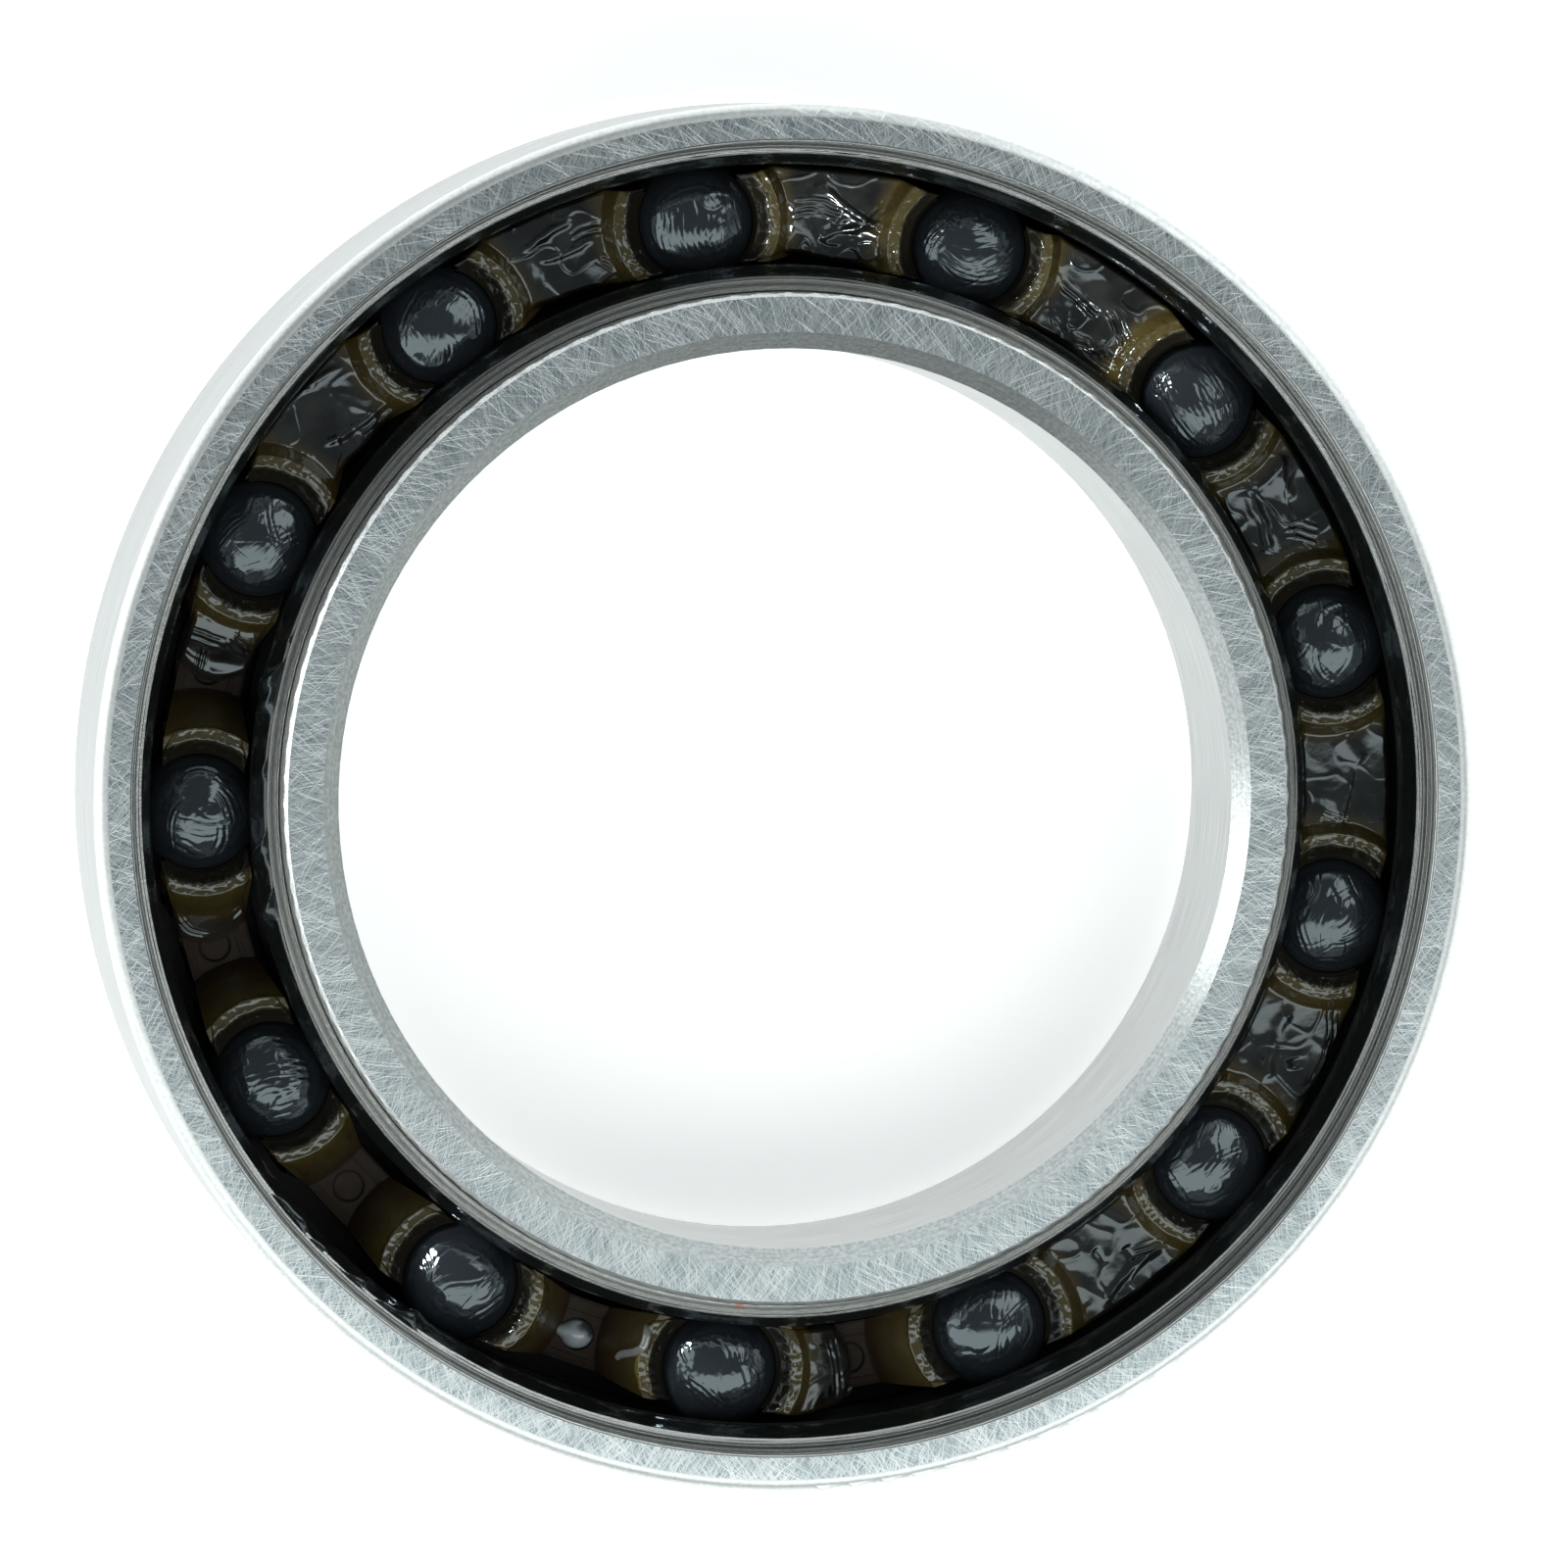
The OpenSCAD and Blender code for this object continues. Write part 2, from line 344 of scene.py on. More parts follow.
def pitch_distance(shader, at, phase=BALL_PHASE):
    """Distance from the nearest of the even places on the pitch circle, the first of them at the phase."""
    step = math.radians(BALL_STEP)
    turns = (at.angle - math.radians(phase))/step
    part = shader.math("FRACT", turns + (0.5 + BALL_COUNT)) - 0.5
    cross = at.radius*shader.math("COSINE", part*step)*(2*PITCH_R)
    return shader.math("SQRT", at.radius*at.radius + PITCH_R**2 - cross)


def floor_marks(shader, at):
    """The ring that a mould pin left in the middle of each floor, and fine grooves along its sides."""
    off_ring = abs(pitch_distance(shader, at, BALL_PHASE + BALL_STEP/2) - PIN_R)
    side = abs(at.radius - PITCH_R).ramp(0.48, 0.56)
    lines = shader.noise(shader.combine(at.radius*15.0)).ramp(0.45, 0.6)
    return shader.math("MAXIMUM", off_ring.ramp(0.015, 0.06, 0.85, 0.0), side*(lines*0.7))


def lead_in_shade(shader, at, distance):
    """Mask of the painted shade in the lead-in: nearly 1 between a ball and its prongs and 0 outside it,
    with an uneven edge.
    """
    return (distance + shader.noise(at.point, 2.4)*0.2).ramp(1.97, 2.11, 0.94, 0.0)


def amber_tone(shader, at, distance):
    """Colour of the moulded cage: reddish feet of the ramps, olive ridges and grey-brown floors, with
    painted shade in the lead-in round each ball.
    """
    rise = shader.mix(at.z.ramp(-0.35, 0.35), AMBER_FOOT, AMBER_RAMP)
    tone = shader.mix(at.z.ramp(0.4, 1.15), rise, AMBER_RIDGE)
    tone = shader.mix(distance.ramp(3.1, 3.25), tone, AMBER_FLOOR)
    tone = shader.mix(shader.noise(at.point, 1.6).ramp(0.3, 0.8, 0.0, 0.45), tone, AMBER_FOOT)
    # Painted shade: the lead-in round each ball goes nearly black
    return shader.mix(lead_in_shade(shader, at, distance), tone, GAP_PAINTED_SHADE)


def cage_amber():
    """Moulded polyamide with a dull skin of grease, and mould marks on its floors."""
    shader = Shader("cage_amber")
    at = shader.place()
    distance = pitch_distance(shader, at)
    wave = shader.noise(at.point, 3.0, 3.0)
    low = distance.ramp(3.0, 3.25)
    marks = floor_marks(shader, at)*distance.ramp(3.1, 3.2)
    tone = shader.mix(marks, amber_tone(shader, at, distance), AMBER_GROOVE)
    # The lead-in's painted shade also dims the cage's reflection there
    shine = low.ramp(0.0, 1.0, 0.45, 0.12)*lead_in_shade(shader, at, distance).ramp(0.0, 0.94, 1.0, 0.1)
    return shader.surface(Base_Color=tone, IOR=1.5, Roughness=wave.ramp(0.3, 0.7, 0.3, 0.45) + low*0.22,
                          Specular_IOR_Level=shine, Normal=shader.bump(wave, 0.02))


def seal_rubber():
    return grained("seal_rubber", 14.0, (0.009, 0.009, 0.01), (0.018, 0.018, 0.019), depth=0.004,
                   Roughness=0.55)


def insert_steel():
    return grained("insert_steel", 6.0, (0.4, 0.41, 0.42), (0.55, 0.56, 0.57),
                   Metallic=1.0, Roughness=0.4)


def film_material():
    """Grease film over black ceramic, with fine smear lines along the film's own direction."""
    shader = Shader("ball_film")
    u, v = shader.split(shader.value("ShaderNodeUVMap", {"uv_map": "smear"}))[:2]
    streaks = shader.noise(shader.combine(u*11.0, v*1.2))
    weight = shader.value("ShaderNodeAttribute", {"attribute_name": "streaky"}, "Fac")
    return shader.surface(Base_Color=FILM_NAVY, Roughness=0.09, IOR=1.85, Specular_Tint=FILM_TINT,
                          Normal=shader.bump(streaks*weight, 0.012))


def grease_material():
    """Grease on the cage: clear and amber where thin, grey-olive where deep."""
    shader = Shader("grease")
    at = shader.place()
    distance = pitch_distance(shader, at)
    depth = shader.value("ShaderNodeAttribute", {"attribute_name": "depth"}, "Fac")
    cloud = shader.noise(at.point, 1.3, 3.0)
    deep = shader.mix(cloud.ramp(0.35, 0.7), GREASE_DARK, GREASE_GREY)
    cover = (depth + cloud*0.25).ramp(0.15, 0.75)
    ripple = shader.noise(at.point, 3.0)*0.4
    grains = shader.noise(at.point, 4.0, 1.0).ramp(0.55, 0.8, 0.0, 0.6)*distance.ramp(2.3, 2.7, 1.0, 0.0)
    # The lead-in's painted shade also dims the grease's reflection there
    shine = lead_in_shade(shader, at, distance).ramp(0.0, 1.0, 0.5, 0.12)
    return shader.surface(Base_Color=shader.mix(cover, amber_tone(shader, at, distance), deep),
                          Roughness=depth.ramp(0.1, 0.6, 0.09, 0.15), IOR=1.72, Specular_IOR_Level=shine,
                          Specular_Tint=GREASE_TINT, Normal=shader.bump(ripple + grains, 0.022))


def shoulder_grease():
    """Dark grease smeared over the shoulders of both rings."""
    return grained("shoulder_grease", 4.0, (0.004, 0.005, 0.0055), (0.01, 0.0115, 0.011), depth=0.02,
                   Roughness=0.12, IOR=1.6, Specular_Tint=FILM_TINT)


def milky_grease(place):
    """Milky grease, painted paler towards the lower left and darker towards the upper right as light and
    shade, round a place in millimetres.
    """
    shader = Shader("grease_drop")
    at = shader.place()
    # Painted light and shade: pale on the side towards the lamps, dark on the far side
    across = (at.x - place[0]) + (at.y - place[1])
    clear = (across + (shader.noise(at.point, 3.0) - 0.5)).ramp(0.05, 0.5)
    tone = shader.mix(clear, (0.42, 0.49, 0.52), (0.06, 0.074, 0.082))
    return shader.surface(Base_Color=tone, Roughness=0.2, IOR=1.7)


def bead_grease():
    """A thick bead of clear grey grease, painted paler than its own tone as a painted reflection along it.
    """
    return grained("grease_bead", 3.0, (0.16, 0.17, 0.16), (0.28, 0.29, 0.275), detail=2.0,
                   Roughness=0.07, IOR=2.0)


# Smooth shading of the CAD meshes, and how near corners count as one, on any piece and round a turned one

CORNER_NEAR = 0.0002
TURNED_NEAR = 0.002


def mesh_values(items, name, kind, width):
    values = np.zeros(len(items)*width, kind)
    items.foreach_get(name, values)
    return values.reshape(-1, width) if width > 1 else values


def outward_part(vectors, places):
    """Turns vectors into (away from the axis, along Z) at their places."""
    away = places[:, :2]/np.linalg.norm(places[:, :2], axis=1, keepdims=True)
    return np.stack([np.sum(away*vectors[:, :2], axis=1), vectors[:, 2]], -1)


def smooth_corners(obj, turned, limit=32.0):
    """Gives each corner the mean normal of the faces that meet there within the limit, in degrees.

    On a turned piece the mean is taken all the way round the axis, so the section alone sets it.
    """
    mesh = obj.data
    count = len(mesh.polygons)
    coords = mesh_values(mesh.vertices, "co", float, 3)
    normals = mesh_values(mesh.polygons, "normal", float, 3)
    areas = mesh_values(mesh.polygons, "area", float, 1)
    sizes = mesh_values(mesh.polygons, "loop_total", int, 1)
    corner_vertex = mesh_values(mesh.loops, "vertex_index", int, 1)
    keys = np.round(coords/(CORNER_NEAR*MM))
    if turned:
        radius = np.linalg.norm(coords[:, :2], axis=1)
        keys = np.round(np.stack([radius, coords[:, 2]], -1)/(TURNED_NEAR*MM))
        normals = outward_part(normals, mesh_values(mesh.polygons, "center", float, 3))
    place = np.unique(keys.astype(np.int64), axis=0, return_inverse=True)[1].ravel()
    corner_face = np.repeat(np.arange(count), sizes)
    corner_place = place[corner_vertex]
    order = np.argsort(corner_place, kind="stable")
    starts = np.searchsorted(corner_place[order], np.arange(place.max() + 2))
    cosine = math.cos(math.radians(limit))
    result = normals[corner_face].copy()
    for k in range(len(starts) - 1):
        corners = order[starts[k]:starts[k + 1]]
        faces = corner_face[corners]
        near = normals[faces] @ normals[faces].T > cosine
        mean = (near*areas[faces][None, :]) @ normals[faces]
        length = np.linalg.norm(mean, axis=1, keepdims=True)
        result[corners] = np.where(length > 1e-12, mean/np.maximum(length, 1e-12), normals[faces])
    if turned:
        spot = coords[corner_vertex, :2]
        away = spot/np.linalg.norm(spot, axis=1, keepdims=True)
        result = np.concatenate([away*result[:, :1], result[:, 1:]], -1)
    mesh.polygons.foreach_set("use_smooth", np.ones(count, bool))
    mesh.normals_split_custom_set(result.tolist())


def paint(obj, *materials):
    obj.data.materials.clear()
    for material in materials:
        obj.data.materials.append(material)


def ring_zone(radius, height, up):
    """Index of the ring material for a face by its middle and the Z part of its normal."""
    level = abs(height)
    if level > HALF_WIDTH - 0.001 and abs(up) > 0.999:
        return GROUND
    if radius < BORE_R + BORE_EDGE or radius > OUTER_R - OUTSIDE_EDGE:
        return EDGE if abs(up) > 0.05 else WALL
    return SEAT if level > SEAT_Z - 0.2 else SHOULDER


def finish_ring(obj, materials):
    paint(obj, *materials)
    for face in obj.data.polygons:
        centre = face.center/MM
        face.material_index = ring_zone(math.hypot(centre.x, centre.y), centre.z, face.normal.z)


# Seeded smooth noise for the grease shapes

def noise(x, y, seed):
    """Smooth noise of about -1 to 1 with a feature about every unit."""
    generator = np.random.RandomState(seed)
    size = 64
    angles = generator.uniform(0, 2*math.pi, (size, size))
    xi, yi = np.floor(x).astype(int), np.floor(y).astype(int)
    xf, yf = x - xi, y - yi

    def corner(dx, dy):
        a = angles[(xi + dx) % size, (yi + dy) % size]
        return np.cos(a)*(xf - dx) + np.sin(a)*(yf - dy)

    sx = xf**3*(xf*(xf*6 - 15) + 10)
    sy = yf**3*(yf*(yf*6 - 15) + 10)
    low = corner(0, 0)*(1 - sx) + corner(1, 0)*sx
    high = corner(0, 1)*(1 - sx) + corner(1, 1)*sx
    return 1.5*(low*(1 - sy) + high*sy)


def soft_step(value, low, high):
    t = np.clip((value - low)/(high - low), 0, 1)
    return t*t*(3 - 2*t)


def hump(value, width):
    """1 where the value is 0, falling away smoothly on both sides."""
    return np.exp(-(value/width)**2)


def soft_max(a, b, width):
    """The larger of two heights, with the crease between them rounded over a width."""
    gap = np.clip(0.5 + 0.5*(a - b)/width, 0, 1)
    return b + (a - b)*gap + width*gap*(1 - gap)


# Meshes

def grid_faces(rows, columns):
    index = np.arange(rows*columns).reshape(rows, columns)
    quads = np.stack([index[:-1, :-1], index[1:, :-1], index[1:, 1:], index[:-1, 1:]], -1)
    return quads.reshape(-1, 4)


def border_loop(rows, columns):
    """Indices round the edge of a grid, in order."""
    index = np.arange(rows*columns).reshape(rows, columns)
    return np.concatenate([index[:-1, 0], index[-1, :-1], index[:0:-1, -1], index[0, :0:-1]])


def closed_patch(name, points, rows, columns, *floors):
    """A grid surface closed by a skirt down to each floor in turn and a flat underside."""
    border = border_loop(rows, columns)
    loops = [floor[border] for floor in floors]
    middle = loops[-1].mean(0)
    vertices = np.concatenate([points, *loops, middle[None]])
    ring = np.arange(len(border))
    following = np.roll(ring, -1)
    faces = [grid_faces(rows, columns)]
    upper = border
    for index in range(len(loops)):
        lower = len(points) + index*len(border) + ring
        faces.append(np.stack([upper[following], upper[ring], lower, lower[following]], -1))
        upper = lower
    faces = np.concatenate(faces).tolist() + fan(upper[following], upper[ring], len(vertices) - 1)
    return add_mesh(name, vertices, faces)


def fan(starts, ends, tip):
    """A triangle from each edge of a loop to one vertex."""
    return [[int(start), int(end), tip] for start, end in zip(starts, ends)]


def full_turn(count):
    return np.linspace(0, 2*math.pi, count, endpoint=False)


def add_object(name, data):
    obj = bpy.data.objects.new(name, data)
    bpy.context.scene.collection.objects.link(obj)
    return obj


def add_mesh(name, vertices, faces):
    """A smooth-shaded mesh from points in millimetres."""
    mesh = bpy.data.meshes.new(name)
    mesh.from_pydata((vertices*MM).tolist(), [], faces)
    mesh.update()
    mesh.polygons.foreach_set("use_smooth", np.ones(len(faces), bool))
    return add_object(name, mesh)


def numbered(kind, index):
    return f"{kind}_{index + 1:02d}"


def pitch_point(steps):
    """Place on the pitch circle that lies some ball steps on from the first ball."""
    turn = math.radians(BALL_PHASE + steps*BALL_STEP)
    return np.array([PITCH_R*math.cos(turn), PITCH_R*math.sin(turn)])


def carry(obj, body, material):
    """Paints a piece of grease and ties it to the body that carries it."""
    paint(obj, material)
    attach(obj, body)
    return obj


def add_values(obj, name, values):
    """Stores one number a vertex, and none for the closing vertices at the end."""
    attribute = obj.data.attributes.new(name, "FLOAT", "POINT")
    full = np.zeros(len(obj.data.vertices), np.float32)
    full[:len(values)] = values
    attribute.data.foreach_set("value", full)


def add_directions(obj, name, u, v):
    """Stores two numbers a vertex as a UV map."""
    layer = obj.data.uv_layers.new(name=name)
    full = np.zeros((len(obj.data.vertices), 2), np.float32)
    full[:len(u)] = np.stack([u, v], -1)
    layer.data.foreach_set("uv", full[mesh_values(obj.data.loops, "vertex_index", int, 1)].ravel())


# Strokes left in the grease, as seen in the photograph. A stroke runs from its first end to its second, bows
# to its left by the bend, reaches its width to each side and is made of count parallel lines.

Stroke = namedtuple("Stroke", "x0 y0 x1 y1 bend width count height")


def stroke_height(x, y, row, seed):
    """Height that a stroke adds at x and y. Its row holds the numbers that Stroke names, in that order."""
    stroke = Stroke(*row)
    run_x, run_y = stroke.x1 - stroke.x0, stroke.y1 - stroke.y0
    length = math.hypot(run_x, run_y)
    share = ((x - stroke.x0)*run_x + (y - stroke.y0)*run_y)/length**2
    side = ((y - stroke.y0)*run_x - (x - stroke.x0)*run_y)/length
    side = side - 4*stroke.bend*share*(1 - share)
    side = side + 0.3*stroke.width*noise(share*length*2.5, side*1.5, seed)/stroke.count**0.5
    ends = soft_step(share, -0.06, 0.14)*(1 - soft_step(share, 0.86, 1.06))
    if stroke.count == 1:
        return stroke.height*ends*hump(side, stroke.width)
    pitch = 2*stroke.width/stroke.count
    wave = np.cos(2*math.pi*side/pitch)
    uneven = 0.65 + 0.7*noise(side/pitch*0.8, share*length*2, seed + 1)
    window = 1 - soft_step(np.abs(side), 0.75*stroke.width, 1.15*stroke.width)
    return stroke.height*ends*window*wave*uneven


# Grease film on the balls, with places in ball radii from the middle of each ball as it is seen. A smear's
# lean is in degrees, its bend bows it, and the next three scale its streaks, swells and torn detail.

Smear = namedtuple("Smear", "lean bend streaks swell ragged strokes")
BALL_SMEARS = [
    Smear(75, 0.35, 0.7, 1.1, 0.6, [
        (-0.11, 0.05, 0.42, 0.52, 0.2, 0.04, 1, 0.022), (0.02, 0.0, 0.5, 0.38, 0.16, 0.04, 1, 0.02),
        (0.24, 0.54, 0.66, -0.27, 0.14, 0.1, 3, 0.008), (0.16, 0.1, 0.24, 0.35, 0.04, 0.04, 1, 0.022),
        (0.24, 0.33, 0.52, -0.08, 0.03, 0.045, 1, 0.024), (-0.08, 0.0, 0.02, -0.6, -0.1, 0.09, 2, 0.01),
        (0.0, -0.58, 0.52, -0.42, -0.18, 0.045, 1, 0.02)]),
    Smear(117, 0.0, 1.0, 0.9, 0.8, [
        (0.03, 0.12, 0.34, -0.5, 0.02, 0.17, 4, 0.012), (0.14, 0.5, 0.58, -0.25, 0.06, 0.07, 2, 0.012),
        (-0.46, 0.1, 0.05, -0.72, -0.1, 0.12, 3, 0.01), (-0.5, 0.45, -0.36, 0.1, 0.0, 0.12, 3, 0.014)]),
    Smear(0, 0.45, 0.6, 0.8, 0.8, [
        (-0.34, -0.14, 0.76, -0.24, -0.26, 0.16, 4, 0.01), (-0.1, 0.16, 0.2, 0.43, 0.1, 0.04, 1, 0.02),
        (0.0, 0.46, 0.22, 0.4, 0.06, 0.035, 1, 0.02), (0.4, 0.33, 0.42, 0.05, 0.04, 0.05, 2, 0.012),
        (-0.7, -0.15, -0.3, 0.42, 0.06, 0.2, 5, 0.012)]),
    Smear(102, 0.1, 0.9, 0.4, 0.3, [
        (0.04, -0.55, -0.12, 0.3, 0.04, 0.46, 11, 0.009), (0.12, 0.24, 0.5, 0.22, -0.12, 0.04, 1, 0.02),
        (0.22, 0.35, 0.8, 0.0, 0.2, 0.05, 1, 0.018), (-0.45, -0.45, 0.15, -0.58, -0.05, 0.05, 1, 0.014)]),
    Smear(80, -0.2, 0.9, 0.7, 0.5, [
        (-0.12, 0.5, -0.46, -0.16, -0.05, 0.08, 2, 0.013),
        (0.42, 0.58, 0.78, -0.05, 0.12, 0.24, 5, 0.011),
        (-0.52, -0.3, 0.3, -0.54, -0.22, 0.045, 1, 0.018), (0.0, -0.05, 0.1, -0.6, 0.0, 0.32, 9, 0.004)]),
    Smear(52, 0.2, 0.7, 1.1, 0.4, [
        (-0.57, -0.16, -0.05, 0.3, 0.05, 0.1, 3, 0.013), (0.22, 0.54, 0.74, 0.3, 0.14, 0.05, 1, 0.024),
        (0.22, 0.54, 0.4, -0.16, -0.06, 0.08, 2, 0.014), (0.34, 0.4, 0.62, 0.2, 0.06, 0.05, 1, 0.02),
        (0.18, -0.42, 0.66, 0.0, 0.05, 0.14, 3, 0.012),
        (-0.35, -0.12, -0.08, -0.34, 0.0, 0.06, 2, 0.01)]),
    Smear(172, -0.35, 0.7, 0.6, 0.4, [
        (-0.12, 0.6, 0.4, 0.56, 0.07, 0.24, 5, 0.011), (0.36, 0.24, -0.3, -0.62, -0.34, 0.08, 2, 0.016),
        (0.3, 0.12, -0.1, -0.25, -0.1, 0.045, 1, 0.016), (0.4, 0.3, 0.62, -0.2, 0.06, 0.16, 4, 0.012),
        (0.42, -0.2, 0.3, -0.66, 0.05, 0.1, 2, 0.012)]),
    Smear(15, -0.15, 0.8, 0.8, 0.5, [
        (-0.4, -0.12, 0.62, 0.06, 0.06, 0.26, 5, 0.01), (0.02, -0.56, 0.8, -0.12, 0.24, 0.05, 1, 0.022),
        (0.2, -0.58, 0.72, -0.42, -0.12, 0.045, 1, 0.018), (-0.4, 0.44, 0.25, 0.6, 0.08, 0.12, 2, 0.012),
        (-0.35, 0.2, -0.3, -0.1, 0.0, 0.05, 1, 0.012)]),
    Smear(35, 0.0, 0.3, 0.35, 0.5, [
        (0.35, -0.65, 0.82, -0.33, 0.0, 0.17, 4, 0.008), (0.08, -0.45, 0.66, 0.12, 0.04, 0.06, 2, 0.009),
        (-0.3, -0.05, 0.3, 0.1, 0.08, 0.05, 2, 0.008), (-0.46, 0.42, -0.34, 0.1, 0.0, 0.12, 3, 0.009)]),
    Smear(95, 0.0, 0.3, 0.4, 1.3, [
        (-0.42, -0.18, 0.15, -0.66, 0.0, 0.12, 3, 0.008), (0.3, 0.6, 0.55, -0.3, 0.05, 0.24, 4, 0.007),
        (-0.55, 0.4, -0.4, 0.05, 0.0, 0.08, 2, 0.009)]),
    Smear(70, 0.2, 0.3, 0.45, 0.4, [
        (0.24, -0.72, 0.3, 0.0, 0.04, 0.1, 3, 0.008), (0.28, -0.02, 0.72, 0.42, 0.03, 0.1, 3, 0.01),
        (-0.3, 0.0, 0.3, 0.05, 0.05, 0.05, 1, 0.012)]),
    Smear(55, 0.3, 0.5, 0.8, 0.6, [
        (-0.15, -0.52, 0.5, 0.2, 0.14, 0.12, 3, 0.012), (-0.6, -0.18, -0.28, -0.66, 0.0, 0.1, 2, 0.011),
        (0.0, -0.2, 0.35, 0.05, 0.05, 0.045, 1, 0.014)]),
    Smear(60, 0.5, 0.5, 0.8, 0.4, [
        (-0.14, -0.52, 0.46, 0.42, 0.24, 0.09, 2, 0.016),
        (0.05, -0.44, 0.74, 0.06, -0.14, 0.09, 2, 0.016), (0.02, -0.46, 0.26, -0.56, 0.12, 0.05, 1, 0.02),
        (0.2, 0.0, 0.42, 0.3, 0.1, 0.05, 1, 0.018), (-0.4, -0.1, -0.2, -0.66, -0.05, 0.12, 3, 0.01)]),
]

# Points along a film's grid, its reach in degrees, its thickness at the rim and what its middle adds, the
# arc lengths between which that fades, the least thickness, and how deep its hidden side lies in the ball
FILM_GRID = 121
FILM_REACH = 64.0
FILM_BASE = 0.012
FILM_CROWN = 0.022
FILM_FADE = (1.2, 1.75)
FILM_LEAST = 0.004
FILM_SUNK = 0.1

# Flattened spots in the film of some balls, which catch a hard lamp: their place and their radii
SPARK_SPOT = (-0.44, 0.3)
SPARK_RADII = {1: 0.24, 2: 0.2, 8: 0.34, 9: 0.16}


def disc_grid(count):
    """A square grid mapped evenly onto a unit disc."""
    a, b = np.meshgrid(np.linspace(-1, 1, count), np.linspace(-1, 1, count), indexing="ij")
    wide = np.abs(a) > np.abs(b)
    reach = np.where(wide, a, b)
    other = np.where(wide, b, a)
    safe = np.where(np.abs(reach) < 1e-9, 1e-9, reach)
    turn = math.pi/4*other/safe
    x = np.where(wide, reach*np.cos(turn), reach*np.sin(turn))
    y = np.where(wide, reach*np.sin(turn), reach*np.cos(turn))
    return x.ravel(), y.ravel()


def film_height(x, y, seen, smear, seed):
    """Thickness of a ball's film at arc lengths x and y from its top, and places across and along it."""
    lean = math.radians(smear.lean)
    across = x*math.sin(lean) - y*math.cos(lean)
    along = x*math.cos(lean) + y*math.sin(lean)
    across = across + smear.bend*along**2 + 0.22*noise(x*1.1, y*1.1, seed + 1)
    swell = noise(x*1.15 + 7, y*1.15, seed) + 0.5*noise(x*2.3, y*2.3 + 3, seed + 2)
    fold = 1 - 2*np.abs(noise(across*1.6, along*0.5 + 5, seed + 3))
    streak = noise(across*5.0, along*0.45, seed + 4)
    torn = noise(x*3.6, y*3.6, seed + 5) + 0.6*noise(x*7.5, y*7.5, seed + 6)
    crease = hump(noise(across*2.1, along*0.6, seed + 7), 0.11)
    cross = hump(noise(x*1.3, y*1.3 + 4, seed + 8), 0.09)
    height = 0.009*smear.swell*swell + 0.007*smear.swell*fold
    height = height + 0.005*smear.streaks*streak + 0.0045*smear.ragged*torn
    height = height - 0.011*crease + 0.009*smear.swell*cross
    for index, stroke in enumerate(smear.strokes):
        height = height + stroke_height(seen[:, 0], seen[:, 1], stroke, seed + 20 + 3*index)
    arc = np.hypot(x, y)
    inside = 1 - soft_step(arc, *FILM_FADE)
    most = 0.016 + 0.07*(1 - soft_step(arc, 1.0, 1.5))
    thickness = FILM_BASE + (FILM_CROWN + height)*inside
    return np.clip(thickness, FILM_LEAST, most), across, along


def spark_dent(seen, size, seed):
    """How much a flattened spot takes off the film."""
    x = BALL_R*(seen[:, 0] - SPARK_SPOT[0])
    y = BALL_R*(seen[:, 1] - SPARK_SPOT[1])
    uneven = 1 + 0.3*noise(x*6, y*6, seed)
    return 0.8*np.clip(size**2 - (x**2 + y**2)*uneven, 0, None)/(2*BALL_R)


def ball_film(index, material):
    """A cap of grease film over the top of one ball."""
    x, y = disc_grid(FILM_GRID)
    reach = BALL_R*math.radians(FILM_REACH)
    x, y = x*reach, y*reach
    arc = np.hypot(x, y)
    polar = arc/BALL_R
    safe = np.maximum(arc, 1e-9)
    direction = np.stack([np.sin(polar)*x/safe, np.sin(polar)*y/safe, np.cos(polar)], -1)
    seen = direction @ np.array(camera_axes())
    smear = BALL_SMEARS[index]
    thickness, across, along = film_height(x, y, seen, smear, seed=100 + 10*index)
    if index in SPARK_RADII:
        thickness = np.maximum(thickness - spark_dent(seen, SPARK_RADII[index], 90 + index), FILM_LEAST)
    centre = np.array([*pitch_point(index), 0.0])
    top = centre + direction*(BALL_R + thickness)[:, None]
    below = centre + direction*(BALL_R - FILM_SUNK)
    obj = closed_patch(numbered("ball", index) + "_film", top, FILM_GRID, FILM_GRID, below)
    add_values(obj, "streaky", np.full(len(x), smear.streaks))
    add_directions(obj, "smear", across, along)
    return carry(obj, numbered("ball", index), material)


# Grease on the cage, one piece for each block between two balls, with places in millimetres from its middle.
# The levels are those of its pool at the start, middle and end, and the films and bulges are given for both
# ends. A bulge is the share of the way from the cage's wall to the ring. Swell scales the waves, and the
# front is where the grease ends along its block.

Block = namedtuple("Block", "levels films bulge_in bulge_out swell front seed strokes burst",
                   defaults=(None,))

# The front of grease that covers its block from end to end
WHOLE = 9.0

